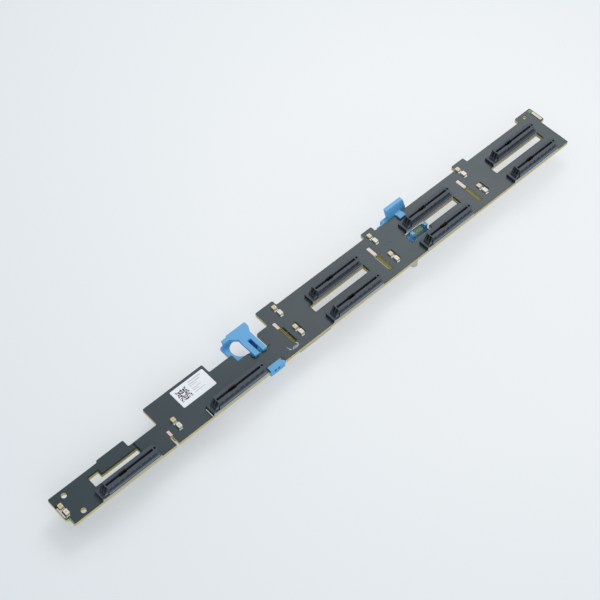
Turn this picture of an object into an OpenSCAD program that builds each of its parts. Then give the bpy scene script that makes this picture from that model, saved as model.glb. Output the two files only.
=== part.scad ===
// Drive backplane board of a one-unit server for eight 2.5 inch drives.
// The board lies on its rear parts with its front, the drive side, facing up.
// X runs along the board, Y towards its upper long edge, Z out of the front face.
// Inside the modules, z = 0 is the front face of the board and x = y = 0 its lower left corner.

/* [Board] */
// Length of the board without its end tabs
board_l = 406.5; // [400:0.5:420]
// Thickness of the board
board_t = 2.4; // [1.6:0.1:3.2]
// Height of the left part
left_h = 21.8; // [21:0.1:23]
// Height of the raised lip above the stepped window
lip_h = 23.1; // [23:0.1:24.4]
// Height of the low stretch between the first two columns
dip_h = 18; // [17:0.1:19]
// Height of the shoulder that carries the label
shoulder_h = 31.2; // [30:0.1:33]
// Height of the ledge beside the left latch
ledge_h = 24.5; // [23:0.1:25.4]
// Height of the board behind the stacked sockets
main_h = 33.4; // [32:0.1:34.5]
// Height of the bumps and the right tab
bump_h = 37.2; // [36:0.1:38]
// Corner radius of the outline
corner_r = 0.8; // [0.3:0.1:1]
// Height of the foot of the left end tab above the lower edge
left_tab_y = 5; // [4:0.1:7]
// Reach of the left end tab
left_tab_w = 2; // [1:0.1:3]
// Reach of the right end tab
right_tab_w = 3.6; // [2:0.1:5]
// Length of the right end tab along the board
right_tab_l = 14.8; // [12:0.1:18]
// Height of the foot of the right end tab
right_tab_y = 24.2; // [22:0.1:27]

/* [Windows] */
// Height of an air window
window_w = 5.2; // [4.6:0.1:5.6]
// Distance from the lower edge to an air window
window_y = 13.4; // [13:0.1:14]
// Distance from a window's left end to the sockets' left end
window_lead = 2.6; // [1:0.1:4]
// Lower edge of the stepped window at the first column
step_window_y = 10.2; // [9:0.1:10.6]
// Height of the stepped window
step_window_w = 3.4; // [3:0.1:4]
// Length of the stepped window
step_window_l = 31.7; // [30:0.1:34]
// Length of its taller left stretch
step_window_head = 6.6; // [5:0.1:9]
// Extra height of that stretch
step_window_rise = 3.5; // [2:0.1:4]
// Width of the narrow isolation slots
thin_slot_w = 1.9; // [1.4:0.1:2.2]
// Length of the narrow isolation slots
thin_slot_l = 14; // [12:0.5:16]
// Distance from the lower edge to a narrow slot
thin_slot_y = 5.2; // [3:0.1:7]
// Length of the open slot beside the second column
open_slot_l = 6.2; // [4:0.1:8]

/* [Holes] */
// Diameter of the two fixing holes at the left end
fixing_d = 3.4; // [2.6:0.1:4]
// Diameter of the guide hole in the right tab
guide_d = 2.8; // [2:0.1:3.4]
// Diameter of the test hole near the fourth column
test_d = 1; // [0.6:0.1:1.6]

/* [Columns] */
// Left end of the first column's socket
first_x = 19.9; // [19.5:0.1:21]
// Distance from the last column's sockets to the board's right end
end_gap = 10.1; // [9:0.1:12]
// Extra room for the left latch between the second and the third column
latch_room = 14.3; // [13:0.1:16]
// Distance between a lower and an upper socket
row_pitch = 18.7; // [18.6:0.1:19.2]

/* [Drive sockets] */
// Length of a socket
socket_l = 41.8; // [41.4:0.1:42.4]
// Width of a socket's base
socket_w = 7.6; // [7:0.1:8]
// Height of the base flange
base_h = 1.6; // [1.2:0.1:2]
// Height of the ledge above the flange
step_h = 4.6; // [3:0.1:5]
// Height of the long bar
bar_h = 7; // [6.4:0.1:8]
// Width of the long bar
bar_w = 5.6; // [5:0.1:6]
// Width of the blade slot
slot_w = 1.6; // [1.4:0.1:1.9]
// Length of the blade slot
slot_l = 33; // [32.5:0.1:33.4]
// Depth of the blade slot
slot_depth = 5.2; // [4:0.1:5.6]
// Length of the key window
key_l = 5; // [4.6:0.1:5.2]
// Width of the key window
key_w = 2.4; // [2:0.1:2.8]

/* [Contacts] */
// Distance between neighbouring blade contacts
contact_pitch = 1.27; // [1.25:0.01:1.28]
// Width of a blade contact
contact_w = 0.5; // [0.3:0.05:0.6]
// Thickness of a blade contact
contact_t = 0.3; // [0.2:0.05:0.35]
// Height of a blade contact
contact_h = 3.6; // [3:0.1:4]
// Distance between neighbouring key contacts
key_pitch = 0.66; // [0.6:0.01:0.68]

/* [Status lights] */
// Length of a light's package along the board's height
light_l = 3.9; // [3.2:0.1:4.4]
// Width of a light's package
light_w = 2.6; // [2.2:0.1:3]
// Height of a light's package
light_h = 1.2; // [0.8:0.1:1.6]
// Distance between the two lights of a pair
light_pitch = 5.3; // [5:0.1:6]
// Diameter of the lens
lens_d = 1.8; // [1.4:0.1:2]

/* [Label] */
// Width of the label
label_w = 24.6; // [20:0.1:26]
// Height of the label
label_l = 13.6; // [11:0.1:14.6]
// Thickness of the label
label_t = 0.1; // [0.05:0.05:0.2]

/* [Left latch] */
// Length of the opening in the board that the latch sits in
notch_l = 20.9; // [20.5:0.1:21.3]
// Thickness of the latch's plates
latch_t = 2.2; // [1.8:0.1:2.6]
// Diameter of the finger hole
finger_d = 13.6; // [12:0.1:14]
// Width of an arm
arm_w = 2.9; // [2.4:0.1:3.2]
// Height of the arms and the thumb plate above the board
arm_h = 1.9; // [1.6:0.1:2.4]

/* [Right latch] */
// Width of the thumb grip
grip_w = 14.4; // [12:0.1:16]
// Height of the thumb grip above the board
grip_h = 5.2; // [4:0.1:7]
// Thickness of the thumb grip
grip_t = 2.6; // [2:0.1:3]

/* [Rear connectors] */
// Height of the tallest rear parts, on which the board lies
rear_h = 11; // [10:0.5:13]
// Length of a cable socket's metal shell
shell_l = 25.5; // [24:0.5:27]
// Width of a cable socket's metal shell
shell_w = 7.4; // [7.2:0.1:7.6]
// Wall of the metal shell
shell_wall = 0.5; // [0.4:0.1:0.6]
// Number of contacts on each side of a cable socket's tongue
tongue_contacts = 13; // [9:1:14]
// Length of the power header
power_l = 21.6; // [20:0.1:23]
// Width of the power header
power_w = 10.4; // [9.6:0.1:11]
// Number of pins in a row of the power header
power_pins_row = 5; // [4:1:5]
// Length of the signal header
signal_l = 18; // [16:0.5:20]
// Width of the signal header
signal_w = 5.4; // [5:0.1:6]
// Height of the signal header
signal_h = 6.4; // [5:0.1:8]

/* [Rear circuits] */
// Side of the controller's package
chip_side = 12; // [10:0.5:12.5]
// Height of the flat packages
chip_h = 1.4; // [1:0.1:1.8]
// Diameter of the round capacitors
can_d = 5; // [4:0.1:6.3]
// Height of the round capacitors
can_h = 7.7; // [5:0.1:8]
// Side of a choke
choke_side = 6.2; // [5:0.1:7]
// Height of a choke
choke_h = 3; // [2:0.1:4]

/* [Hidden] */

$fn = 32;
corner_steps = 3;
eps = 0.01;
over = 1;

// Left ends of the five columns of sockets, which fill the board from end to end
column_steps = 4;
column_pitch = (board_l - first_x - socket_l - end_gap - latch_room) / column_steps;
columns = [for (k = [0 : column_steps]) first_x + k * column_pitch + (k > 1 ? latch_room : 0)];

// Place that lies a lead d from column k
function beside(k, d) = columns[k] + d;

// Two places that lie the leads d from column k
function span_beside(k, d) = [beside(k, d[0]), beside(k, d[1])];

// Points that lie the leads beside the columns of the same number in the list
function points_beside(list, leads) =
    [for (n = [0 : len(list) - 1]) [beside(list[n], leads[n].x), leads[n].y]];

// Places in the gap between a column and its left neighbour, as shares of that gap from the column
column_gap = column_pitch - socket_l;
open_slot_share = 0.702;
thin_slot_share = 0.674;
light_share = 0.491;
open_slot_lead = -column_gap * open_slot_share;
thin_slot_lead = -column_gap * thin_slot_share;
light_lead = -column_gap * light_share;

// Leads are distances from a column's left end, negative to its left
lip_lead = [12.5, 31.7];
shoulder_lead = [-27.6, 17];
notch_lead = 34.3;
clip_notch_lead = [43.2, 54.7];
hook_bay_lead = [-2.5, 14.3];
tongue_lead = [3.1, 10.5];
test_lead = -12.6;
guide_lead = 46.9;

// How far each bump of the upper edge reaches left and right of its column's lights
bump_reach = [[-11.6, 2.3], [-3.6, 5.7], [-1.5, 9.5]];

// Places along the board, from its lower left corner
lip_x = span_beside(0, lip_lead);
shoulder_x = span_beside(1, shoulder_lead);
notch_x = beside(1, notch_lead);
notch_y = 18.8;
arm_notch_gap = 8.3;
arm_notch_x = notch_x + arm_notch_gap;
arm_notch_y = 14.9;
inner_ledge_rise = 1.1;
inner_ledge_h = ledge_h + inner_ledge_rise;
bump_x = [for (k = [0 : 2]) [for (d = bump_reach[k]) beside(k + 2, light_lead + d)]];
clip_notch_x = span_beside(1, clip_notch_lead);
clip_notch_y = 3.4;
open_slot_x = beside(1, open_slot_lead);
fixing_at = [[6.3, 17.9], [8.8, 3.4]];
guide_y = 33.8;
guide_at = [beside(4, guide_lead), guide_y];
test_y = 21.1;
test_at = [beside(3, test_lead), test_y];
tongue_x = span_beside(3, tongue_lead);
tongue_y = 14.2;
hook_bay_x = span_beside(3, hook_bay_lead);
hook_bay_y = 11;
right_tab_x = board_l + right_tab_w - right_tab_l;
sockets = [[columns[0], 0], [columns[1], 0], [columns[2], 0], [columns[2], row_pitch],
    [columns[3], 0], [columns[3], row_pitch], [columns[4], 0], [columns[4], row_pitch]];

// Places of the status lights: the middle of each pair
first_light_x = 1.2;
light_y = 11.9;
lights = [[first_light_x, light_y], [beside(1, light_lead), light_y],
    [beside(2, light_lead), light_y], [beside(2, light_lead), light_y + row_pitch],
    [beside(3, light_lead), light_y], [beside(3, light_lead), light_y + row_pitch],
    [beside(4, light_lead), light_y], [beside(4, light_lead), light_y + row_pitch]];
lens_gap = 0.35;

// Distance from the label to the shoulder's right and upper edges
label_margin = [1.7, 2];

// Values of a drive socket
foot_l = 1.2;
foot_h = 2.1;
ramp_x = 2;
ramp_top_x = 4.8;
ramp_w = 4.8;
groove_w = 1.3;
groove_gap = 0.7;
groove_drop = 1;
step_w = 6.7;
slot_x = 5.4;
key_lead = 9.2;
key_x = slot_x + key_lead;
peg_hole_d = 1.5;
peg_hole_depth = 2;
peg_hole_x = 39.8;
pocket_count = 9;
pocket_l = 2.2;
pocket_depth = 0.35;
pocket_h = 1.7;
contact_drop = 0.9;
key_contact_w = 0.33;
signal_count = 7;
power_count = 15;
slot_end_gap = 0.5;

// Values of the latches
fit_gap = 0.2;
strap_top = -board_t - fit_gap;
strap_bottom = strap_top - latch_t;
ring_lead = [-0.9, 19.1];
finger_lead = 9;
arm_lead = [9.1, 15.3];
thumb_lead = [5.3, 20.3];
neck_lead = [9.4, 18.2];
riser_lead = 1.3;
ring_x = [for (d = ring_lead) notch_x + d];
ring_y = [10, 34.4];
finger_y = 26.5;
finger_at = [notch_x + finger_lead, finger_y];
arm_end_y = 13.7;
arm_x = [for (d = arm_lead) notch_x + d];
arm_root_y = 25;
thumb_x = [for (d = thumb_lead) notch_x + d];
thumb_y = [32.5, 36.1];
neck_y = 28.7;
neck_x = [for (d = neck_lead) notch_x + d];
thumb_t = 2;
thumb_r = 0.5;
riser_x = notch_x + riser_lead;
riser_y = [32.6, 35.2];
clip_top = 0.6;
clip_reach = 0.3;
clip_toe = 0.7;
clip_step = 1.2;
clip_window = [1.8, 2.2];
clip_window_lead = [2.5, 5.2];
clip_window_depth = 1.3;
clip_r = 0.3;
latch_corner_r = 0.9;
grip_lead = -0.3;
wing_lead = [-10.5, -5.3];
front_hook_lead = [4.6, 9.3];
strap_lead = [0.5, 14];
grip_x = beside(3, grip_lead);
grip_lean = 2.3;
grip_gap = 0.3;
grip_y = main_h + grip_gap;
grip_cap = 0.8;
wing_x = span_beside(3, wing_lead);
wing_h = [1, 3.3];
wing_top = -0.4;
front_hook_x = span_beside(3, front_hook_lead);
front_hook_y = [28.7, 32.3];
front_hook_h = 1.6;
hook_bridge_h = 0.9;
strap_x = span_beside(3, strap_lead);
strap_y = 11.3;
post_y = 14;
post_w = 2.2;
post_l = 2.4;
post_h = 1.7;

// Values of the rear parts
rear_top = -board_t;
rest_z = board_t + rear_h;
shell_column = [2, 3];
shell_lead = [[-23.4, 4.6], [25.5, 24.9]];
shell_at = points_beside(shell_column, shell_lead);
shell_bay = 7.6;
insert_gap = 0.1;
tongue_t = 1;
tongue_end_gap = 1.6;
tongue_side_gap = 2.2;
tongue_contact_w = 0.5;
tongue_contact_t = 0.12;
power_lead = 4.6;
power_y = 9;
power_at = [shoulder_x[0] + power_lead, power_y];
power_wall = 0.9;
power_cell = 3.3;
power_cell_depth = 8.6;
power_pin_w = 1;
power_pin_gap = 1.6;
signal_lead = 8;
signal_y = 4.4;
signal_at = [beside(1, signal_lead), signal_y];
signal_wall = 1.1;
signal_floor = 1.4;
signal_pitch = 2;
signal_pin_w = 0.5;
signal_pins_row = 7;
signal_pin_gap = 1.2;
chip_lead = 13.6;
chip_y = 20.6;
chip_at = [beside(2, chip_lead), chip_y];
lead_pitch = 1;
lead_w = 0.4;
lead_t = 0.15;
lead_reach = 1;
lead_knee = 0.6;
logic_size = [5, 3.9];
logic_column = [2, 2, 3, 3, 4, 4];
logic_lead = [[12, 5.4], [46, 24], [-18.5, 25], [25.5, 4.6], [-9.2, 6], [25.4, 24]];
logic_at = points_beside(logic_column, logic_lead);
logic_pins = 4;
logic_pitch = 1.27;
regulator_size = [6.6, 9];
regulator_lead = 2;
regulator_y = 17.6;
regulator_at = [beside(1, regulator_lead), regulator_y];
choke_column = [1, 1];
choke_lead = [[10.5, 12], [19, 12]];
choke_at = points_beside(choke_column, choke_lead);
choke_foot_share = 1 / 6;
choke_crown_share = 0.83;
can_column = [3, 1, 1, 1];
can_lead = [[-8.5, 3.3], [-18, 25.6], [-10.5, 25.6], [-3, 25.6]];
can_at = points_beside(can_column, can_lead);
can_base = 0.9;
can_groove = 0.25;
can_bead = 1.2;
ceramic_size = [2, 1.25, 1];
ceramic_pitch = 2.6;
ceramic_counts = [5, 4, 4, 5, 5, 3, 4];
ceramic_column = [1, 2, 2, 3, 4, 0, 4];
ceramic_lead = [[28.5, 7], [31.6, 22], [31.6, 26], [11.5, 8], [-22.6, 22], [-7.9, 6.5], [5.4, 27]];
ceramic_at = points_beside(ceramic_column, ceramic_lead);
resistor_size = [1.6, 0.9, 0.5];
resistor_pitch = 2;
resistor_counts = [6, 2, 6, 6, 5, 5, 6];
resistor_column = [2, 2, 3, 4, 0, 1, 4];
resistor_lead = [[31.6, 30], [45.6, 8], [19.5, 11], [-8.6, 27], [40.1, 4], [19, 10.1], [31.4, 8]];
resistor_at = points_beside(resistor_column, resistor_lead);

// Middle of the whole part, so that its origin is at the bottom centre of its box
x_low = -left_tab_w;
x_high = board_l + right_tab_w;
y_low = -clip_reach;
y_high = grip_y + grip_lean + grip_t + grip_cap;
middle = [(x_low + x_high) / 2, (y_low + y_high) / 2];

// Unit vector along v
function unit(v) = v / norm(v);

// Points of a fillet of radius r at corner b, between its neighbours a and c
function corner_arc(a, b, c, r) =
    let (u = unit(a - b), w = unit(c - b), half = acos(u * w) / 2)
    let (start = b + u * r / tan(half), stop = b + w * r / tan(half))
    let (centre = b + unit(u + w) * r / sin(half))
    [for (k = [0 : corner_steps])
        centre + unit(start + (stop - start) * k / corner_steps - centre) * r];

// Outline through pts with every corner rounded to radius r
function rounded(pts, r) =
    let (n = len(pts))
    [for (k = [0 : n - 1]) each corner_arc(pts[(k + n - 1) % n], pts[k], pts[(k + 1) % n], r)];

// Moves board coordinates to the part's own origin
module placed() {
    translate([-middle.x, -middle.y, rest_z]) children();
}

// Box between two corners
module block(low, high) {
    translate(low) cube(high - low);
}

// Prism over an outline, from z0 up to z1
module prism(pts, z0, z1) {
    translate([0, 0, z0]) linear_extrude(z1 - z0) polygon(pts);
}

// Prism along X over an outline that is drawn in Y and Z
module prism_x(pts, x0, x1) {
    translate([x0, 0, 0]) rotate([90, 0, 90]) linear_extrude(x1 - x0) polygon(pts);
}

// Prism along Y over an outline that is drawn in X and Z
module prism_y(pts, y0, y1) {
    translate([0, y1, 0]) rotate([90, 0, 0]) linear_extrude(y1 - y0) polygon(pts);
}

// Outline of the board, from the lower left corner against the clock
board_pts = [
    [0, 0],
    [clip_notch_x[0], 0], [clip_notch_x[0], clip_notch_y],
    [clip_notch_x[1], clip_notch_y], [clip_notch_x[1], 0],
    [board_l, 0], [board_l, right_tab_y],
    [board_l + right_tab_w, right_tab_y], [board_l + right_tab_w, bump_h],
    [right_tab_x, bump_h], [right_tab_x, main_h],
    [bump_x[2][1], main_h], [bump_x[2][1], bump_h], [bump_x[2][0], bump_h], [bump_x[2][0], main_h],
    [bump_x[1][1], main_h], [bump_x[1][1], bump_h], [bump_x[1][0], bump_h], [bump_x[1][0], main_h],
    [bump_x[0][1], main_h], [bump_x[0][1], bump_h], [bump_x[0][0], bump_h], [bump_x[0][0], inner_ledge_h],
    [notch_x + notch_l, inner_ledge_h], [notch_x + notch_l, arm_notch_y],
    [arm_notch_x, arm_notch_y], [arm_notch_x, notch_y], [notch_x, notch_y], [notch_x, ledge_h],
    [shoulder_x[1], ledge_h], [shoulder_x[1], shoulder_h],
    [shoulder_x[0], shoulder_h], [shoulder_x[0], dip_h],
    [lip_x[1], dip_h], [lip_x[1], lip_h], [lip_x[0], lip_h], [lip_x[0], left_h],
    [-left_tab_w, left_h], [-left_tab_w, left_tab_y], [0, left_tab_y]];

// Stepped window at the first column
step_x = first_x + window_lead;
step_top = step_window_y + step_window_w;
step_pts = [
    [step_x, step_window_y], [step_x + step_window_l, step_window_y], [step_x + step_window_l, step_top],
    [step_x + step_window_head, step_top], [step_x + step_window_head, step_top + step_window_rise],
    [step_x, step_top + step_window_rise]];

// Window between the fourth column's sockets, with the bay for the right latch's hooks
hook_window_x = beside(3, -window_lead);
window_top = window_y + window_w;
window_l = window_lead + socket_l;
hook_pts = [
    [hook_bay_x[0], hook_bay_y], [hook_bay_x[1], hook_bay_y], [hook_bay_x[1], window_y],
    [hook_window_x + window_l, window_y], [hook_window_x + window_l, window_top],
    [tongue_x[1], window_top], [tongue_x[1], tongue_y], [tongue_x[0], tongue_y], [tongue_x[0], window_top],
    [hook_bay_x[0], window_top]];

// Outline of a plain window whose lower left corner is at p
function window_pts(p, l, w) = [p, p + [l, 0], p + [l, w], p + [0, w]];

// Round hole through the board
module board_hole(at, d) {
    translate([at.x, at.y, -board_t - over]) cylinder(h = board_t + 2 * over, d = d);
}

// Cut through the board over an outline
module board_cut(pts) {
    prism(pts, -board_t - over, over);
}

// The printed circuit board with its windows, slots and holes
module circuit_board() {
    window_r = corner_r / 2;
    color("#4a5356") placed() difference() {
        prism(rounded(board_pts, corner_r), -board_t, 0);
        board_cut(rounded(step_pts, window_r));
        for (c = [2, 4])
            board_cut(rounded(window_pts([beside(c, -window_lead), window_y],
                window_l, window_w), window_r));
        board_cut(rounded(hook_pts, window_r));
        for (c = [2 : 4])
            board_cut(rounded(window_pts([beside(c, thin_slot_lead) - thin_slot_w / 2, thin_slot_y],
                thin_slot_w, thin_slot_l), window_r));
        board_cut([[open_slot_x - thin_slot_w / 2, -over], [open_slot_x + thin_slot_w / 2, -over],
            [open_slot_x + thin_slot_w / 2, open_slot_l], [open_slot_x - thin_slot_w / 2, open_slot_l]]);
        for (at = fixing_at)
            board_hole(at, fixing_d);
        board_hole(guide_at, guide_d);
        board_hole(test_at, test_d);
    }
}

// Guide ramp at the left end of a socket: three sloping ribs with two grooves between them
module guide_ramp() {
    slope = [[ramp_x, base_h], [ramp_top_x, bar_h], [ramp_top_x + eps, bar_h], [ramp_top_x + eps, base_h]];
    y0 = (socket_w - ramp_w) / 2;
    difference() {
        prism_y(slope, y0, y0 + ramp_w);
        for (side = [-1, 1])
            translate([-over, socket_w / 2 + side * (groove_w + groove_gap) / 2 - groove_w / 2, groove_drop])
                prism_y([for (p = slope) p + [p.x < ramp_top_x + eps / 2 ? 0 : 2 * over, 0]], 0, groove_w);
    }
}

// Row of shallow pockets along one side of the bar, at height z
module side_pockets(y0, y1, z) {
    pitch = (slot_l - pocket_l) / (pocket_count - 1);
    for (k = [0 : pocket_count - 1])
        block([slot_x + k * pitch, y0, z], [slot_x + k * pitch + pocket_l, y1, z + pocket_h]);
}

// Moulded housing of a drive socket, with its corner at the origin
module socket_housing() {
    mid = socket_w / 2;
    slot_floor = bar_h - slot_depth;
    bar_end = socket_l - foot_l / 2 - bar_w / 2;
    pocket_z = step_h + (bar_h - step_h - pocket_h) / 2;
    difference() {
        union() {
            cube([socket_l, socket_w, base_h]);
            cube([foot_l, socket_w, foot_h]);
            block([ramp_top_x, mid - step_w / 2, 0], [socket_l - foot_l, mid + step_w / 2, step_h]);
            block([ramp_top_x, mid - bar_w / 2, 0], [bar_end, mid + bar_w / 2, bar_h]);
            translate([bar_end, mid, 0]) cylinder(h = bar_h, d = bar_w);
            guide_ramp();
        }
        block([slot_x, mid - slot_w / 2, slot_floor], [slot_x + slot_l, mid + slot_w / 2, bar_h + over]);
        block([key_x, mid - key_w / 2, slot_floor], [key_x + key_l, mid + key_w / 2, bar_h + over]);
        translate([peg_hole_x, mid, bar_h - peg_hole_depth])
            cylinder(h = peg_hole_depth + over, d = peg_hole_d);
        side_pockets(mid - bar_w / 2 - over, mid - bar_w / 2 + pocket_depth, pocket_z);
        side_pockets(mid + bar_w / 2 - pocket_depth, mid + bar_w / 2 + over, pocket_z);
    }
}

// Housing of socket n, counted from 1
module drive_socket(n) {
    color("#24282b") placed() translate([sockets[n - 1].x, sockets[n - 1].y, 0]) socket_housing();
}

// Contacts of socket n: two rows at the slot's lower wall and a finer row in the key window
module socket_contacts(n) {
    wall = (socket_w - slot_w) / 2;
    key_wall = (socket_w + key_w) / 2;
    top = bar_h - contact_drop;
    left = slot_x + slot_end_gap / 2;
    right = slot_x + slot_l - slot_end_gap / 2;
    key_left = key_x + slot_end_gap / 2;
    color("#b58a4a") placed() translate([sockets[n - 1].x, sockets[n - 1].y, 0]) {
        for (k = [0 : signal_count - 1])
            block([left + k * contact_pitch, wall, top - contact_h],
                [left + k * contact_pitch + contact_w, wall + contact_t, top]);
        for (k = [0 : power_count - 1])
            block([right - k * contact_pitch - contact_w, wall, top - contact_h],
                [right - k * contact_pitch, wall + contact_t, top]);
        for (k = [0 : signal_count - 1])
            block([key_left + k * key_pitch, key_wall - contact_t, top - contact_h],
                [key_left + k * key_pitch + key_contact_w, key_wall, top]);
    }
}

// One light: a cream package with a sunk round lens and bevelled mouth
module light() {
    difference() {
        translate([-light_w / 2, -light_l / 2, 0]) cube([light_w, light_l, light_h]);
        translate([0, 0, light_h / 2]) cylinder(h = light_h, d1 = lens_d - lens_gap, d2 = lens_d + lens_gap);
    }
    translate([0, 0, light_h / 3]) cylinder(h = light_h / 2, d = lens_d - 2 * lens_gap);
}

// Pair n of status lights, counted from 1
module status_lights(n) {
    color("#e2cf9e") placed() translate([lights[n - 1].x, lights[n - 1].y, 0])
        for (side = [-1, 1])
            translate([0, side * light_pitch / 2, 0]) light();
}

// Paper label on the shoulder
module label_sticker() {
    label_x = shoulder_x[1] - label_margin.x - label_w;
    label_y = shoulder_h - label_margin.y - label_l;
    color("#eef0f0") placed() block([label_x, label_y, 0], [label_x + label_w, label_y + label_l, label_t]);
}

// Left latch: one moulding that hooks over the notch, runs behind the board and clips its lower edge
module left_latch() {
    thumb_pts = [[thumb_x[0], thumb_y[1]], [thumb_x[0], thumb_y[0]], [neck_x[0], neck_y],
        [arm_x[0], arm_root_y], [arm_x[1] + arm_w, arm_root_y], [neck_x[1], neck_y],
        [thumb_x[1], thumb_y[0]], [thumb_x[1], thumb_y[1]]];
    strap_x0 = clip_notch_x[0] + fit_gap;
    strap_x1 = clip_notch_x[1] - fit_gap;
    clip_y = clip_notch_y - fit_gap;
    clip_pts = [[strap_x0, -clip_reach], [strap_x1, -clip_reach], [strap_x1, clip_toe],
        [strap_x1 - clip_step, clip_toe + clip_step], [strap_x1 - clip_step, clip_y], [strap_x0, clip_y]];
    color("#4f97d3") placed() {
        difference() {
            prism(rounded([[ring_x[0], ring_y[0]], [ring_x[1], ring_y[0]], [ring_x[1], ring_y[1]],
                [ring_x[0], ring_y[1]]], latch_corner_r), strap_bottom, strap_top);
            translate([finger_at.x, finger_at.y, strap_bottom - over])
                cylinder(h = latch_t + 2 * over, d = finger_d);
        }
        prism(rounded(thumb_pts, thumb_r), arm_h - thumb_t, arm_h);
        for (x = arm_x)
            block([x, arm_end_y, fit_gap], [x + arm_w, arm_root_y + thumb_r, arm_h]);
        block([arm_x[0], arm_root_y - latch_t, fit_gap], [arm_x[1] + arm_w, arm_root_y + thumb_r, arm_h]);
        block([thumb_x[0] + thumb_r, finger_at.y + finger_d / 2 + fit_gap, strap_top - eps],
            [ring_x[1] - latch_corner_r, ring_y[1], arm_h - thumb_t + eps]);
        block([riser_x, riser_y[0], strap_top - eps], [thumb_x[0] + thumb_r, ring_y[1], arm_h]);
        block([riser_x, ring_y[1] - eps, arm_h - thumb_t], [thumb_x[0] + thumb_r, riser_y[1], arm_h]);
        block([strap_x0, clip_notch_y, strap_bottom], [strap_x1, ring_y[0] + eps, strap_top]);
        difference() {
            prism(rounded(clip_pts, clip_r), strap_bottom, clip_top);
            for (d = clip_window_lead)
                block([strap_x0 + d, -clip_reach - over, strap_top],
                    [strap_x0 + d + clip_window.x, clip_window_depth - clip_reach,
                        strap_top + clip_window.y]);
        }
        block([strap_x0, clip_y - corner_r, strap_bottom], [strap_x1, clip_notch_y + eps, strap_top]);
    }
}

// Right latch: a thumb grip, a wing along the upper edge, a front hook and two posts through the window
module right_latch() {
    grip_pts = [[grip_y, strap_bottom], [grip_y, 0], [grip_y + grip_lean, grip_h - grip_cap],
        [grip_y + grip_lean + grip_cap, grip_h], [grip_y + grip_lean + grip_t + grip_cap, grip_h],
        [grip_y + grip_t + grip_cap, wing_top], [grip_y + grip_t, strap_bottom]];
    wing_pts = [[wing_x[0], grip_y], [grip_x + eps, grip_y], [grip_x + eps, main_h + wing_h[1]],
        [wing_x[1], main_h + wing_h[1]], [wing_x[1], main_h + wing_h[0]], [wing_x[0], main_h + wing_h[0]]];
    color("#4f97d3") placed() {
        prism_x(grip_pts, grip_x, grip_x + grip_w);
        prism(wing_pts, strap_bottom, wing_top);
        block([strap_x[0], strap_y, strap_bottom], [strap_x[1], grip_y + eps, strap_top]);
        block([front_hook_x[0], front_hook_y[0], fit_gap], [front_hook_x[1], front_hook_y[1], front_hook_h]);
        block([front_hook_x[0], front_hook_y[1] - eps, fit_gap],
            [front_hook_x[1], grip_y + grip_lean, hook_bridge_h]);
        for (x = [strap_x[0], strap_x[1] - post_w])
            block([x, post_y, strap_top - eps], [x + post_w, post_y + post_l, post_h]);
    }
}

// Metal shell n of a rear cable socket, open towards the rear
module cable_shell(n) {
    at = shell_at[n - 1];
    color("#a9adae") placed() translate([at.x, at.y, rear_top - rear_h]) difference() {
        cube([shell_l, shell_w, rear_h]);
        translate([shell_wall, shell_wall, -over])
            cube([shell_l - 2 * shell_wall, shell_w - 2 * shell_wall, rear_h + 2 * over]);
        for (k = [-1, 1])
            translate([shell_l / 2 + k * shell_l / 4 - latch_t / 2, -over, rear_h / 3])
                cube([latch_t, shell_wall + 2 * over, latch_t / 2]);
    }
}

// Moulded insert n of a rear cable socket, with its tongue
module cable_insert(n) {
    at = shell_at[n - 1];
    inset = shell_wall + insert_gap;
    color("#1d2022") placed() translate([at.x, at.y, rear_top - rear_h]) {
        translate([inset, inset, shell_bay])
            cube([shell_l - 2 * inset, shell_w - 2 * inset, rear_h - shell_bay]);
        translate([tongue_side_gap, (shell_w - tongue_t) / 2, tongue_end_gap])
            cube([shell_l - 2 * tongue_side_gap, tongue_t, shell_bay - tongue_end_gap + eps]);
    }
}

// Contacts n on both sides of a cable socket's tongue
module cable_contacts(n) {
    at = shell_at[n - 1];
    span = shell_l - 2 * tongue_side_gap - 2 * tongue_contact_w;
    start = tongue_end_gap + tongue_contact_w;
    pitch = (span - tongue_contact_w) / (tongue_contacts - 1);
    color("#c9a24f") placed() translate([at.x, at.y, rear_top - rear_h])
        for (k = [0 : tongue_contacts - 1], side = [-1, 1])
            translate([tongue_side_gap + tongue_contact_w + k * pitch,
                shell_w / 2 + side * (tongue_t + tongue_contact_t) / 2 - tongue_contact_t / 2, start])
                cube([tongue_contact_w, tongue_contact_t, shell_bay - start]);
}

// Place of cell k, row r in the power header
function power_cell_at(k, r) =
    let (pitch = (power_l - 2 * power_wall - power_cell) / (power_pins_row - 1))
    [power_wall + k * pitch, r == 0 ? power_wall : power_w - power_wall - power_cell];

// Rear power header with one cell for each pin
module power_header() {
    ramp = power_wall;
    color("#1b1d1f") placed() translate([power_at.x, power_at.y, rear_top - rear_h]) {
        difference() {
            cube([power_l, power_w, rear_h]);
            for (k = [0 : power_pins_row - 1], r = [0, 1])
                translate([power_cell_at(k, r).x, power_cell_at(k, r).y, -over])
                    cube([power_cell, power_cell, power_cell_depth + over]);
        }
        translate([power_l / 2 - power_cell / 2, power_w - eps, rear_h / 3])
            prism_x([[0, 0], [ramp, ramp], [ramp, rear_h / 4], [0, rear_h / 4]], 0, power_cell);
    }
}

// Pins of the power header
module power_pins() {
    inset = (power_cell - power_pin_w) / 2;
    color("#c8b070") placed() translate([power_at.x, power_at.y, rear_top - rear_h])
        for (k = [0 : power_pins_row - 1], r = [0, 1])
            translate([power_cell_at(k, r).x + inset, power_cell_at(k, r).y + inset, power_pin_gap])
                cube([power_pin_w, power_pin_w, power_cell_depth - power_pin_gap]);
}

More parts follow.
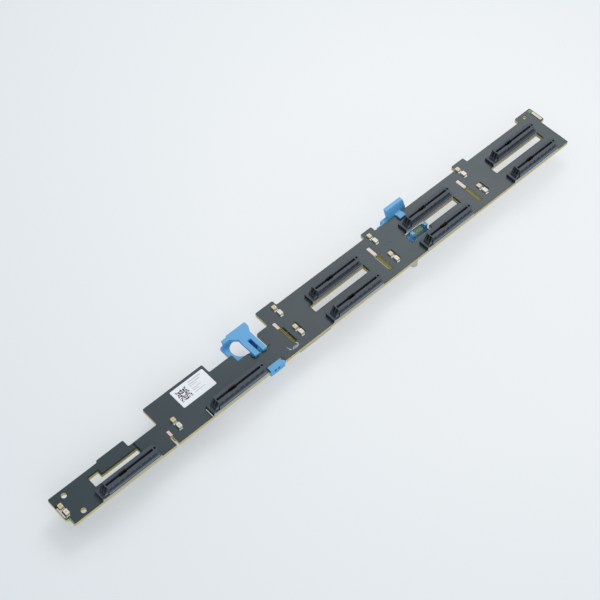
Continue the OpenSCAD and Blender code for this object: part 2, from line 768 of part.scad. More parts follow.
// Rear signal header, an open tray with a polarising gap in its wall
module signal_header() {
    color("#e8e2d0") placed() translate([signal_at.x, signal_at.y, rear_top - signal_h]) difference() {
        cube([signal_l, signal_w, signal_h]);
        translate([signal_wall, signal_wall, -over])
            cube([signal_l - 2 * signal_wall, signal_w - 2 * signal_wall, signal_h - signal_floor + over]);
        translate([signal_l / 2 - signal_w / 4, signal_w - signal_wall - over, -over])
            cube([signal_w / 2, signal_wall + 2 * over, signal_h / 2 + over]);
    }
}

// Pins of the signal header
module signal_pins() {
    span = signal_pitch * (signal_pins_row - 1) + signal_pin_w;
    color("#c9a24f") placed() translate([signal_at.x, signal_at.y, rear_top - signal_h])
        for (k = [0 : signal_pins_row - 1])
            translate([(signal_l - span) / 2 + k * signal_pitch, (signal_w - signal_pin_w) / 2,
                signal_pin_gap])
                cube([signal_pin_w, signal_pin_w, signal_h - signal_floor - signal_pin_gap]);
}

// Body of a flat package on the rear face, w by l, with bevelled sides
module flat_package(w, l, h) {
    bevel = h / 4;
    translate([0, 0, rear_top - h])
        difference() {
            cube([w, l, h]);
            for (x = [0, w])
                translate([x, 0, 0]) rotate([0, 45, 0]) cube([bevel, 2 * l + over, bevel], center = true);
            translate([bevel * 3, bevel * 3, -eps]) cylinder(h = bevel / 2, d = bevel * 3);
        }
}

// Gull-wing lead on the rear face that leaves a body at the origin along +X
module gull_lead(h) {
    z = rear_top;
    upper = z - h / 2 - lead_t / 2;
    lower = upper + lead_t;
    prism_y([[0, upper], [lead_knee - lead_t, upper], [lead_knee, z - lead_t], [lead_reach, z - lead_t],
        [lead_reach, z], [lead_knee - lead_t, z], [lead_knee - 2 * lead_t, lower], [0, lower]],
        -lead_w / 2, lead_w / 2);
}

// Rear controller, a square flat package
module controller_chip() {
    color("#202326") placed() translate([chip_at.x, chip_at.y, 0])
        flat_package(chip_side, chip_side, chip_h);
}

// Leads of the controller on all four sides
module controller_leads() {
    count = floor((chip_side - 2 * lead_w) / lead_pitch);
    first = -(count - 1) / 2 * lead_pitch;
    color("#b9bcbd") placed() translate([chip_at.x + chip_side / 2, chip_at.y + chip_side / 2, 0])
        for (a = [0, 90, 180, 270], k = [0 : count - 1])
            rotate(a) translate([chip_side / 2, first + k * lead_pitch, 0]) gull_lead(chip_h);
}

// Small eight-lead packages on the rear face
module logic_chips() {
    color("#202326") placed() for (at = logic_at)
        translate([at.x, at.y, 0]) flat_package(logic_size.x, logic_size.y, chip_h);
}

// Leads of the small packages
module logic_leads() {
    first = -(logic_pins - 1) / 2 * logic_pitch;
    color("#b9bcbd") placed() for (at = logic_at, side = [0, 1], k = [0 : logic_pins - 1])
        translate([at.x + logic_size.x / 2 + first + k * logic_pitch, at.y + side * logic_size.y, 0])
            rotate(side == 0 ? -90 : 90) gull_lead(chip_h);
}

// Power transistor package with its solder tab
module regulator_chip() {
    color("#202326") placed() translate([regulator_at.x, regulator_at.y, 0]) {
        flat_package(regulator_size.x, regulator_size.y - lead_reach, chip_h + lead_knee);
        translate([lead_reach / 2, regulator_size.y - lead_reach - eps, rear_top - lead_w])
            cube([regulator_size.x - lead_reach, lead_reach, lead_w]);
    }
}

// Chokes: a square moulded block with a round crown
module power_chokes() {
    color("#3c4043") placed() for (at = choke_at)
        translate([at.x, at.y, rear_top - choke_h]) {
            translate([0, 0, choke_h * choke_foot_share])
                cube([choke_side, choke_side, choke_h * (1 - choke_foot_share)]);
            translate([choke_side / 2, choke_side / 2, 0])
                cylinder(h = choke_h / 2, d = choke_side * choke_crown_share);
        }
}

// Round capacitors: a turned can with a rolled groove on a square base
module can_capacitors() {
    r = can_d / 2;
    bead = can_h - can_base - can_bead;
    color("#b4b8ba") placed() for (at = can_at)
        translate([at.x, at.y, rear_top - can_h]) {
            rotate_extrude() polygon([[0, 0], [r - can_groove, 0], [r, can_groove], [r, bead - can_groove],
                [r - can_groove, bead], [r, bead + can_groove], [r, can_h - can_base / 2],
                [0, can_h - can_base / 2]]);
            translate([-r, -r, can_h - can_base]) cube([can_d, can_d, can_base]);
        }
}

// Rows of equal small blocks on the rear face, each row with its start and its count
module small_parts(starts, counts, size, pitch) {
    for (n = [0 : len(starts) - 1], k = [0 : counts[n] - 1])
        translate([starts[n].x + k * pitch, starts[n].y, rear_top - size.z]) cube([size.y, size.x, size.z]);
}

// Ceramic capacitors on the rear face
module ceramic_capacitors() {
    color("#a88a5e") placed() small_parts(ceramic_at, ceramic_counts, ceramic_size, ceramic_pitch);
}

// Chip resistors on the rear face
module chip_resistors() {
    color("#2a2c2e") placed() small_parts(resistor_at, resistor_counts, resistor_size, resistor_pitch);
}

circuit_board();
drive_socket(1);  // drive_socket_1
drive_socket(2);  // drive_socket_2
drive_socket(3);  // drive_socket_3
drive_socket(4);  // drive_socket_4
drive_socket(5);  // drive_socket_5
drive_socket(6);  // drive_socket_6
drive_socket(7);  // drive_socket_7
drive_socket(8);  // drive_socket_8
socket_contacts(1);  // socket_contacts_1
socket_contacts(2);  // socket_contacts_2
socket_contacts(3);  // socket_contacts_3
socket_contacts(4);  // socket_contacts_4
socket_contacts(5);  // socket_contacts_5
socket_contacts(6);  // socket_contacts_6
socket_contacts(7);  // socket_contacts_7
socket_contacts(8);  // socket_contacts_8
status_lights(1);  // status_lights_1
status_lights(2);  // status_lights_2
status_lights(3);  // status_lights_3
status_lights(4);  // status_lights_4
status_lights(5);  // status_lights_5
status_lights(6);  // status_lights_6
status_lights(7);  // status_lights_7
status_lights(8);  // status_lights_8
label_sticker();
left_latch();
right_latch();
cable_shell(1);  // cable_shell_1
cable_shell(2);  // cable_shell_2
cable_insert(1);  // cable_insert_1
cable_insert(2);  // cable_insert_2
cable_contacts(1);  // cable_contacts_1
cable_contacts(2);  // cable_contacts_2
power_header();
power_pins();
signal_header();
signal_pins();
controller_chip();
controller_leads();
logic_chips();
logic_leads();
regulator_chip();
power_chokes();
can_capacitors();
ceramic_capacitors();
chip_resistors();
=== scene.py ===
# %% [markdown]
# # A drive backplane board, dressed around its CAD solids
#
# The object is the long circuit board that stands behind the drives of a flat server. Drives plug
# into its upright black sockets, air passes through its windows, and two blue latches hold it.
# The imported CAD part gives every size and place. This lesson adds what the eye needs: camera,
# light, printed layers, soft edges and the finish of each material.

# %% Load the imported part
import math

import bmesh
import bpy
import numpy as np
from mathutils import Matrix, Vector
from mathutils.geometry import delaunay_2d_cdt


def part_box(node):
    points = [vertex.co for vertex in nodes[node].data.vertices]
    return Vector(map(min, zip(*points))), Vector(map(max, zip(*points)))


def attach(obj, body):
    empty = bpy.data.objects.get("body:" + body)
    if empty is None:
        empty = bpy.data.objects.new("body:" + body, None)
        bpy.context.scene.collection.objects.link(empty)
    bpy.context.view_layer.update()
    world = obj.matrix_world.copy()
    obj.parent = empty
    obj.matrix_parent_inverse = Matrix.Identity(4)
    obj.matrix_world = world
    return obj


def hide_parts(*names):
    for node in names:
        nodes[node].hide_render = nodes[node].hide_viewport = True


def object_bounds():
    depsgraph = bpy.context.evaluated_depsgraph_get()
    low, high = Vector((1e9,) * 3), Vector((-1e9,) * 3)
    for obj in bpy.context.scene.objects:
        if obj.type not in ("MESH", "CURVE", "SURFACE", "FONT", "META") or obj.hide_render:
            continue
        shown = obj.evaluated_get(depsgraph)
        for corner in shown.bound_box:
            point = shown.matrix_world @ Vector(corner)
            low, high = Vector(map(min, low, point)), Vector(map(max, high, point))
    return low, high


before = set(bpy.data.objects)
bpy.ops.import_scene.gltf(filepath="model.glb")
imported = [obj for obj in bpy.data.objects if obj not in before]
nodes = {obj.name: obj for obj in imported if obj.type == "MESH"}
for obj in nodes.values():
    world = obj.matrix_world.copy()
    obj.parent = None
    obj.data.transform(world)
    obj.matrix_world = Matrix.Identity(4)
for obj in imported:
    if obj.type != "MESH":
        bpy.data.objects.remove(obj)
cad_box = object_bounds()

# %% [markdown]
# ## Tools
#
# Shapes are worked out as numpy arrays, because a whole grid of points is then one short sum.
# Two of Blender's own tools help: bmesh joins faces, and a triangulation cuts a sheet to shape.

print("CAD nodes:", len(nodes), "box:", [round(v, 4) for corner in cad_box for v in corner])

# %% [markdown]
# ## Board millimetres
#
# A maker measures a board from its lower left corner, on its front face. The same is done here,
# so a pad or a light can be given a place in millimetres. The left tab reaches 2 mm past that
# corner, which ties the corner to the box of the CAD board.

# %% From board millimetres to the scene
MM = 0.001
LEFT_TAB = 2.0
board_low, board_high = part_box("circuit_board")
board_corner = np.array([board_low.x + LEFT_TAB * MM, board_low.y, board_high.z])
board_thick = (board_high.z - board_low.z) / MM
rear = -board_thick


def to_scene(points):
    """Scene metres of board millimetres: the board's corner plus a thousandth of each point."""
    return board_corner + MM * np.asarray(points, float)


def node_box(node):
    """Lowest and highest corner of a CAD node, turned from scene metres to board millimetres."""
    low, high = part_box(node)
    return (np.array(low) - board_corner) / MM, (np.array(high) - board_corner) / MM


print("board is", round(board_thick, 2), "mm thick")

# %% [markdown]
# ## Camera
#
# The photograph looks down on the board from beyond its left end and lower edge. A pinhole camera
# was fitted to features that repeat along the board. It has no roll, so a direction is enough.

# %% Camera
EYE = (-138.9, -329.1, 683.0)
AIM = (190.72, 26.25, 0.0)
FOCAL_PIXELS = 1388.2
PICTURE_PIXELS = 600
SENSOR = 36.0


def new_object(name, data):
    """Object that shows the data, at the origin and linked to the scene."""
    made = bpy.data.objects.new(name, data)
    bpy.context.scene.collection.objects.link(made)
    return made


camera_data = bpy.data.cameras.new("camera")
camera_data.sensor_width = SENSOR
camera_data.lens = SENSOR * FOCAL_PIXELS / PICTURE_PIXELS
camera = new_object("camera", camera_data)
bpy.context.scene.camera = camera
eye = Vector(to_scene(EYE))
aim = Vector(to_scene(AIM))
camera.location = eye
camera.rotation_euler = (aim - eye).to_track_quat("-Z", "Y").to_euler()
print("camera", round((aim - eye).length, 3), "m away, lens", round(camera_data.lens, 1), "mm")

# %% [markdown]
# ## Colour and node helpers
#
# Colours are written as sRGB hex, as a paint chart gives them. One function turns them to linear
# light. Another adds any node with its settings and links, which keeps each material readable.
# A Mix node hides its colour sockets behind others of the same name, so they have numbers here.

# %% Helpers for materials
FACTOR, COLOUR_A, COLOUR_B, COLOUR_OUT = 0, 6, 7, 2


def linear(colour):
    """Linear light of an sRGB hex colour: small values are divided, larger ones follow a power curve."""
    srgb = np.array([int(colour[k:k + 2], 16) for k in (1, 3, 5)]) / 255
    light = np.where(srgb <= 0.04045, srgb / 12.92, ((srgb + 0.055) / 1.055) ** 2.4)
    return (*light, 1.0)


def add(tree, kind, inputs=None, **settings):
    """Adds one shader node: settings go on the node, each input gets a value or a link from a socket."""
    made = tree.nodes.new("ShaderNode" + kind)
    for name, value in settings.items():
        setattr(made, name, value)
    for socket, value in (inputs or {}).items():
        if isinstance(value, bpy.types.NodeSocket):
            tree.links.new(value, made.inputs[socket])
        else:
            made.inputs[socket].default_value = value
    return made


def per_mm(size):
    """Texture scale that gives one feature in each size in millimetres: one over the size in metres."""
    return 1 / (size * MM)


print("mid grey in linear light:", round(linear("#808080")[0], 3))

# %% [markdown]
# ## One recipe for moulded, fired and rolled surfaces
#
# Plastics, ceramics and metals here share a recipe. Slow noise shifts the colour between two
# close shades, as uneven moulding or handling does. Fine noise makes the grain that breaks up a
# reflection. A Bevel node finds the edges, which are painted lighter: a painted highlight, and
# partly the rubbing that real mouldings show.

# %% Recipe
EDGE_SAMPLES = 6
SLOW_DETAIL = 3.0
FINE_DETAIL = 4.0
# Cosine of the turn between a rounded and a flat normal, where the painted edge highlight (partly wear)
# starts and where it is full
WEAR_AND_HIGHLIGHT_STARTS, WEAR_AND_HIGHLIGHT_FULL = 0.99, 0.8


def finish(name, shades, roughness, grain, depth, mottle=4.0, metallic=0.0,
           edge=None, edge_reach=0.12, edge_share=0.5, spread=0.06):
    """Material with mottled colour, grain, uneven roughness and edges painted lighter, a painted highlight
    and partly wear; sizes in millimetres.
    """
    material = bpy.data.materials.new(name)
    material.use_nodes = True
    tree = material.node_tree
    shader = tree.nodes["Principled BSDF"]
    place = add(tree, "TexCoord").outputs["Object"]
    slow = add(tree, "TexNoise", {"Vector": place, "Scale": per_mm(mottle), "Detail": SLOW_DETAIL})
    fine = add(tree, "TexNoise", {"Vector": place, "Scale": per_mm(grain), "Detail": FINE_DETAIL})
    colour = add(tree, "Mix", {FACTOR: slow.outputs["Fac"], COLOUR_A: linear(shades[0]),
                              COLOUR_B: linear(shades[1])}, data_type="RGBA")
    out = colour.outputs[COLOUR_OUT]
    # Edges painted lighter: a painted highlight, partly wear
    if edge:
        soft = add(tree, "Bevel", {"Radius": edge_reach * MM}, samples=EDGE_SAMPLES)
        flat = add(tree, "NewGeometry")
        same = add(tree, "VectorMath", {0: soft.outputs["Normal"],
                                       1: flat.outputs["True Normal"]}, operation="DOT_PRODUCT")
        edge_wear_and_highlight = add(tree, "MapRange", {"Value": same.outputs["Value"], "From Min": WEAR_AND_HIGHLIGHT_STARTS,
                                       "From Max": WEAR_AND_HIGHLIGHT_FULL, "To Max": edge_share})
        edge_lit_and_worn = add(tree, "Mix", {FACTOR: edge_wear_and_highlight.outputs["Result"], COLOUR_A: out,
                                COLOUR_B: linear(edge)}, data_type="RGBA")
        out = edge_lit_and_worn.outputs[COLOUR_OUT]
    tree.links.new(out, shader.inputs["Base Color"])
    uneven = add(tree, "MapRange", {"Value": slow.outputs["Fac"], "To Min": roughness - spread,
                                   "To Max": roughness + spread})
    tree.links.new(uneven.outputs["Result"], shader.inputs["Roughness"])
    bump = add(tree, "Bump", {"Height": fine.outputs["Fac"], "Distance": depth * MM})
    tree.links.new(bump.outputs["Normal"], shader.inputs["Normal"])
    shader.inputs["Metallic"].default_value = metallic
    return material


def opened(material):
    """A material's node tree, its shader, and the socket that feeds the shader's colour."""
    tree = material.node_tree
    shader = tree.nodes["Principled BSDF"]
    return tree, shader, shader.inputs["Base Color"].links[0].from_socket


print("noise detail", SLOW_DETAIL, "for mottle and", FINE_DETAIL, "for grain")

# %% [markdown]
# ## Socket nylon
#
# The drive sockets are glass-filled nylon, a matte black that turns blue-grey where it meets the
# light. One plain colour would do from far away. Close up, the foot of each long side is painted
# paler, as painted light, and the ends that face left are painted darker, as painted shade, so
# height and normal say where.

# %% Nylon of the sockets
# Painted light: the long sides are painted paler below these heights; painted shade darkens the left ends
PAINTED_LIGHT_HEIGHT = (1.2, 3.4)
PAINTED_LIGHT_SHARE = 0.95
PAINTED_SHADE_SHARE = 0.85
# Part of the normal that points right, on a wall that faces left and on one that turns away from it
FACES_LEFT, TURNS_AWAY = -1.0, -0.3


def glass_filled_nylon():
    """Black nylon: painted light at the foot, times how far a face looks across, and painted shade on the
    left ends.
    """
    material = finish("glass_filled_nylon", ("#474e55", "#50585f"), 0.58, 0.35, 0.012,
                      edge="#7b858e", edge_share=0.35)
    tree, shader, plain = opened(material)
    shader.inputs["Specular IOR Level"].default_value = 0.3
    place = add(tree, "TexCoord").outputs["Object"]
    height = add(tree, "SeparateXYZ", {0: place}).outputs["Z"]
    foot = add(tree, "MapRange", {"Value": height, "To Min": PAINTED_LIGHT_SHARE, "To Max": 0.0,
                                 "From Min": board_high.z + PAINTED_LIGHT_HEIGHT[0] * MM,
                                 "From Max": board_high.z + PAINTED_LIGHT_HEIGHT[1] * MM})
    normal = add(tree, "NewGeometry").outputs["True Normal"]
    facing = add(tree, "SeparateXYZ", {0: normal})
    across = add(tree, "Math", {0: facing.outputs["Y"]}, operation="ABSOLUTE")
    left = add(tree, "MapRange", {"Value": facing.outputs["X"], "From Min": FACES_LEFT,
                                 "From Max": TURNS_AWAY, "To Min": PAINTED_SHADE_SHARE, "To Max": 0.0})
    left_ends_shaded = add(tree, "Mix", {FACTOR: left.outputs["Result"], COLOUR_A: plain,
                              COLOUR_B: linear("#1d2226")}, data_type="RGBA")
    pale = add(tree, "Math", {0: foot.outputs["Result"], 1: across.outputs[0]}, operation="MULTIPLY")
    foot_painted_lighter = add(tree, "Mix", {FACTOR: pale.outputs[0], COLOUR_A: left_ends_shaded.outputs[COLOUR_OUT],
                              COLOUR_B: linear("#aeb7be")}, data_type="RGBA")
    tree.links.new(foot_painted_lighter.outputs[COLOUR_OUT], shader.inputs["Base Color"])
    return material


socket_nylon = glass_filled_nylon()
# The paler foot is painted light, up to this height
print("dust reaches", PAINTED_LIGHT_HEIGHT[1], "mm up the sockets")

# %% [markdown]
# ## Mouldings, resin and ceramics
#
# Each finish is named for the real material and starts from its usual roughness. Grain is drawn
# coarser than the real 0.02 mm texture, because a finer one would not show in the picture.

# %% Moulded and fired materials
# Latches: tinted polycarbonate with a satin face, which gives broad highlights
latch_blue = finish("blue_polycarbonate", ("#59a6db", "#62afe0"), 0.45, 0.3, 0.008, mottle=7.0,
                    edge="#8ac6f0", edge_reach=0.25, edge_share=0.4)
# Inserts and power header: dense black polymers, a little shinier than the nylon
insert_black = finish("insert_polymer", ("#17191b", "#1e2123"), 0.45, 0.3, 0.01, edge="#4a4f54")
header_black = finish("header_polymer", ("#131517", "#1a1d1f"), 0.4, 0.4, 0.012, edge="#4b5056")
# Signal header: nylon left in its natural ivory, with a soft sheen
header_ivory = finish("header_nylon_natural", ("#e6dfc9", "#ded5bb"), 0.45, 0.35, 0.01, edge="#f4efe0")
# Chips: epoxy filled with glass powder, a dull black with a fine speckle
chip_epoxy = finish("chip_epoxy", ("#1b1d1f", "#222527"), 0.55, 0.15, 0.012, edge="#43484b")
# Chokes: pressed ferrite powder, a dull grey whose edges are painted pale, a painted highlight and partly
# chipping
choke_ferrite = finish("pressed_ferrite", ("#33373a", "#3d4245"), 0.6, 0.12, 0.015, edge="#5d6367")
# Chip capacitors and resistors: fired tan ceramic, and a black glaze that shines more
ceramic_tan = finish("fired_ceramic_tan", ("#9c7c50", "#b08f60"), 0.4, 0.2, 0.004, mottle=1.2)
resistor_black = finish("glazed_resistor", ("#191b1d", "#222427"), 0.25, 0.2, 0.003, mottle=1.2)
# Light packages: cast resin, warm round the amber light and cream round the white one
cap_amber = finish("light_amber_resin", ("#e6d4a8", "#dcc896"), 0.4, 0.2, 0.004, mottle=1.0)
cap_white = finish("light_white_resin", ("#efe8d8", "#e8dfca"), 0.4, 0.2, 0.004, mottle=1.0)
# Lenses: clear epoxy over a yellow chip, smooth enough for a sharp glint
lens_amber = finish("lens_epoxy_amber", ("#d3ad74", "#c59d62"), 0.15, 0.3, 0.002, mottle=0.6)
lens_pale = finish("lens_epoxy_pale", ("#dccb97", "#d0bc84"), 0.15, 0.3, 0.002, mottle=0.6)
print("moulded materials:", len(bpy.data.materials))

# %% [markdown]
# ## Metals
#
# A metal mirrors what stands round it, tinted by its own colour. Plating, rolling and reflow each
# leave another roughness, and that is what tells them apart, so one recipe serves all.

# %% Metals
# Contacts: thin gold over nickel, smooth and warm
contact_gold = finish("gold_over_nickel", ("#c9a055", "#b48a45"), 0.32, 0.12, 0.002, metallic=1.0)
# Shells: nickel-plated sheet steel, a cool grey whose bends are painted brightest, as a painted highlight
shell_steel = finish("nickel_plated_steel", ("#b9bcbd", "#a6aaac"), 0.3, 0.25, 0.004, metallic=1.0,
                     edge="#e2e4e4")
# Pins, leads and chip ends: tin plate, a little duller than nickel
pin_tin = finish("tin_plate", ("#c4c6c6", "#adb1b1"), 0.35, 0.15, 0.003, metallic=1.0)
# Joints: solder with a skin of flux, which hides part of the metal
solder = finish("solder", ("#c6cac2", "#b6bab1"), 0.4, 0.25, 0.01, mottle=0.8, metallic=0.4)
# Round capacitors: drawn aluminium cans, bright and even
can_aluminium = finish("drawn_aluminium", ("#c6c9ca", "#b7bbbd"), 0.28, 0.2, 0.003, metallic=1.0)
# Bare pads: tin over copper, whose pinkish cast comes through
pad_copper = finish("tinned_copper_pad", ("#e6d2c8", "#dcc4b8"), 0.4, 0.4, 0.01, mottle=1.4)
print("materials so far:", len(bpy.data.materials))

# %% [markdown]
# ## The laminate
#
# The board is woven glass in epoxy. Its faces carry a green solder mask, and its cut edges show
# the tan glass with the thin lines of its layers. One material does both: the normal tells a
# face from an edge, and the height inside the board gives the layers.

# %% Laminate material
LAYERS = 8
WEAVE = 0.6
FRAY = 0.5
LAYER_SWING = 0.6
FACE_SHARE = 0.5


def laminate():
    """Green mask where the normal is upright, layered tan glass on the cut edges."""
    material = finish("glass_epoxy_laminate", ("#17381d", "#0f2a14"), 0.5, WEAVE, 0.01, mottle=6.0)
    tree, shader, green = opened(material)
    shader.inputs["Specular IOR Level"].default_value = 0.25
    place = add(tree, "TexCoord").outputs["Object"]
    height = add(tree, "SeparateXYZ", {0: place}).outputs["Z"]
    depth = add(tree, "Math", {0: height, 1: LAYERS * 2 * math.pi / (board_thick * MM)}, operation="MULTIPLY")
    band = add(tree, "Math", {0: depth.outputs[0]}, operation="SINE")
    fray = add(tree, "TexNoise", {"Vector": place, "Scale": per_mm(FRAY), "Detail": SLOW_DETAIL})
    mixed = add(tree, "Math", {0: band.outputs[0], 1: fray.outputs["Fac"]}, operation="MULTIPLY")
    layered = add(tree, "MapRange", {"Value": mixed.outputs[0], "From Min": -LAYER_SWING,
                                    "From Max": LAYER_SWING})
    glass = add(tree, "Mix", {FACTOR: layered.outputs["Result"], COLOUR_A: linear("#bba963"),
                             COLOUR_B: linear("#dfd29c")}, data_type="RGBA")
    facing = add(tree, "NewGeometry").outputs["True Normal"]
    normal = add(tree, "SeparateXYZ", {0: facing})
    upright = add(tree, "Math", {0: normal.outputs["Z"]}, operation="ABSOLUTE")
    face = add(tree, "Math", {0: upright.outputs[0], 1: FACE_SHARE}, operation="GREATER_THAN")
    colour = add(tree, "Mix", {FACTOR: face.outputs[0], COLOUR_A: glass.outputs[COLOUR_OUT],
                              COLOUR_B: green}, data_type="RGBA")
    tree.links.new(colour.outputs[COLOUR_OUT], shader.inputs["Base Color"])
    return material


laminate_material = laminate()
# Walls and ledges that a router left: bare glass and epoxy, brown-green and dull
routed_laminate = finish("routed_glass_epoxy", ("#837e42", "#726d38"), 0.65, 0.5, 0.02, mottle=1.5)
print("laminate with", LAYERS, "layers")

# %% [markdown]
# ## Outlines and closed solids
#
# Pads, packages and prints are all low forms on a flat board. Each is an outline that is carried
# upwards and may draw in as it goes. Primitive boxes would have knife edges that catch no light.


# %% Outlines and closed solids
def rounded_ring(width, length, radius, steps=3):
    """Outline of a rectangle with round corners: each corner's centre plus the radius on a turning angle."""
    turn = (np.arange(4)[:, None] + np.linspace(0, 1, steps + 1)) * math.pi / 2
    sign = np.array([[1, 1], [-1, 1], [-1, -1], [1, -1]])[:, None]
    centre = sign * (np.array([width, length]) / 2 - radius)
    return (centre + radius * np.stack([np.cos(turn), np.sin(turn)], -1)).reshape(-1, 2)


def circle_ring(radius, steps=24):
    """Outline of a circle: the radius times the cosine and sine of an angle that goes once round."""
    turn = np.arange(steps) * 2 * math.pi / steps
    return radius * np.stack([np.cos(turn), np.sin(turn)], -1)


def box_loop(low, high):
    """Outline of a rectangle between two corners."""
    return np.array([low, (high[0], low[1]), high, (low[0], high[1])], float)


def stacked(rings, heights):
    """Closed solid through outlines of one size, each at its height, with both ends capped."""
    rings, heights = np.asarray(rings, float), np.asarray(heights, float)
    layers, count = rings.shape[:2]
    points = np.concatenate([rings, np.broadcast_to(heights[:, None, None], (layers, count, 1))], -1)
    start = np.arange(layers - 1)[:, None] * count
    here, beyond = start + np.arange(count), start + (np.arange(count) + 1) % count
    sides = np.stack([here, beyond, beyond + count, here + count], -1).reshape(-1, 4)
    top = np.arange(count) + (layers - 1) * count
    return points.reshape(-1, 3), sides.tolist() + [list(range(count))[::-1], top.tolist()]


def soft_block(width, length, low, high, radius, soft, steps=2):
    """Block with a round-edged top: the outline draws in along a quarter circle as it nears the top."""
    turn = np.linspace(0, math.pi / 2, steps + 1)
    inset = np.concatenate([[0.0], soft * (1 - np.cos(turn))])
    heights = np.concatenate([[low], high - soft + soft * np.sin(turn)])
    return stacked([rounded_ring(width - 2 * d, length - 2 * d, max(radius - d, soft / 4)) for d in inset],
                   heights)


print("a circle has", len(circle_ring(1.0)), "corners")

# %% [markdown]
# ## Placing shapes and making pieces
#
# A shape is a pair of points and faces in board millimetres. A piece joins several shapes, each
# with its material. It is placed by its mesh, so its object stays at the origin, and it rides on
# the board's one body. Moving objects instead would be lost when the piece is exported.


# %% Piece maker
def moved(shape, place):
    """The shape with a place added to every point."""
    return shape[0] + np.asarray(place, float), shape[1]


def repeated(shape, places):
    """The shape at several places: each place is added to all points, and corner numbers move on."""
    points, faces = shape
    places = np.asarray(places, float)
    every = (places[:, None] + points[None]).reshape(-1, 3)
    return every, [[c + n * len(points) for c in face] for n in range(len(places)) for face in faces]


def middle_and_size(box):
    """Middle and size of a rectangle between two corners: half their sum, and their difference."""
    low, high = np.array(box, float)
    return (low + high) / 2, high - low


def block_over(box, form):
    """Soft block over a rectangle between two corners; the form gives its heights and radii."""
    middle, size = middle_and_size(box)
    return moved(soft_block(*size, **form), (*middle, 0))


def piece(name, parts, replaces=()):
    """One object from (points, faces, material) parts, joined by moving each part's corner numbers on."""
    mesh = bpy.data.meshes.new(name)
    points, faces, indices = [], [], []
    start = 0
    for number, (part_points, part_faces, material) in enumerate(parts):
        mesh.materials.append(material)
        points.append(np.asarray(part_points, float))
        faces += [[start + corner for corner in face] for face in part_faces]
        indices += [number] * len(part_faces)
        start += len(part_points)
    mesh.from_pydata(to_scene(np.concatenate(points)), [], faces)
    mesh.polygons.foreach_set("material_index", indices)
    mesh.update()
    made = new_object(name, mesh)
    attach(made, "root")
    if replaces:
        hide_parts(*replaces)
    print(name, "has", len(mesh.polygons), "faces")

# %% [markdown]
# ## Clean copies of CAD solids
#
# A CAD solid is right in shape but comes as loose triangles. Its copy is merged and its flat
# faces are joined, so that a Bevel can find the real edges. Some corners are then moved by up to
# 2 mm, where a close look at the photograph asked for it.

# %% Clean copies
MERGE = 1e-6
FLAT_ANGLE = math.radians(1)


def trimmed(points, trims):
    """Points inside each box: its middle, plus the stretch times the way from the middle, plus the move."""
    for low, high, stretch, move in trims:
        low, high = np.array(low, float), np.array(high, float)
        inside = ((points > low) & (points < high)).all(1)
        middle = (low + high) / 2
        points[inside] = middle + (points[inside] - middle) * stretch + move
    return points


def clean_copy(node, material, trims=()):
    """Copy of a CAD node with merged corners and joined flat faces, trimmed, and standing for the node."""
    mesh = nodes[node].data.copy()
    mesh.name = node + "_finished"
    shape = bmesh.new()
    shape.from_mesh(mesh)
    bmesh.ops.remove_doubles(shape, verts=shape.verts, dist=MERGE)
    bmesh.ops.dissolve_limit(shape, angle_limit=FLAT_ANGLE, verts=shape.verts, edges=shape.edges)
    shape.to_mesh(mesh)
    shape.free()
    if "custom_normal" in mesh.attributes:
        mesh.attributes.remove(mesh.attributes["custom_normal"])
    if trims:
        points = np.empty(len(mesh.vertices) * 3)
        mesh.vertices.foreach_get("co", points)
        points = (points.reshape(-1, 3) - board_corner) / MM
        mesh.vertices.foreach_set("co", to_scene(trimmed(points, trims)).ravel())
        mesh.update()
    mesh.materials.clear()
    mesh.materials.append(material)
    mesh.polygons.foreach_set("material_index", [0] * len(mesh.polygons))
    made = new_object(mesh.name, mesh)
    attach(made, "root")
    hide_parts(node)
    return made


print("corners closer than", MERGE / MM, "mm are merged")

# %% [markdown]
# ## Soft edges
#
# A moulding never has a knife edge, and neither has a bent shell or a drawn can. The edges could
# be modelled in the CAD, at a high price in faces. A Bevel modifier on the copy gives the same
# glint, with a width for each kind of piece: small on chips, larger on latches and chokes.

# %% Copies with soft edges
SHARP_ANGLE = math.radians(28)
BEVEL_STEPS = 2
AS_IS = (1, 1, 1)
# The arms of the left latch: one end of their gap moves up, and one side of it moves right
ARM_GAP = [((145.0, 22.4, 0.0), (149.9, 23.2, 2.1), AS_IS, (0.0, 2.1, 0.0)),
           ((146.1, 10.0, 0.0), (146.5, 25.2, 2.1), AS_IS, (0.6, 0.0, 0.0))]


def soft_copy(node, width, material, trims=()):
    """Clean copy with a bevel of the width in millimetres on every sharp edge."""
    made = clean_copy(node, material, trims)
    made.data.polygons.foreach_set("use_smooth", [True] * len(made.data.polygons))
    made.data.set_sharp_from_angle(angle=SHARP_ANGLE)
    bevel = made.modifiers.new("soft edge", "BEVEL")
    bevel.width = width * MM
    bevel.segments = BEVEL_STEPS
    bevel.limit_method = "ANGLE"
    bevel.angle_limit = SHARP_ANGLE
    bevel.harden_normals = True


# Width of the bevel, finish, slot, and the nodes that share them
SOFT_EDGES = [(0.12, socket_nylon, "socket_nylon", [f"drive_socket_{n}" for n in range(1, 9)]),
              (0.25, latch_blue, "latch_blue", ["right_latch"]),
              (0.1, shell_steel, "shell_steel", ["cable_shell_1", "cable_shell_2"]),
              (0.1, insert_black, "insert_black", ["cable_insert_1", "cable_insert_2"]),
              (0.2, header_black, "header_black", ["power_header"]),
              (0.15, header_ivory, "header_ivory", ["signal_header"]),
              (0.08, chip_epoxy, "chip_epoxy", ["controller_chip", "logic_chips"]),
              (0.1, chip_epoxy, "chip_epoxy", ["regulator_chip"]),
              (0.25, choke_ferrite, "choke_ferrite", ["power_chokes"]),
              (0.12, can_aluminium, "can_aluminium", ["can_capacitors"])]
for width, material, slot, names in SOFT_EDGES:
    for name in names:
        soft_copy(name, width, material)
soft_copy("left_latch", 0.25, latch_blue, ARM_GAP)
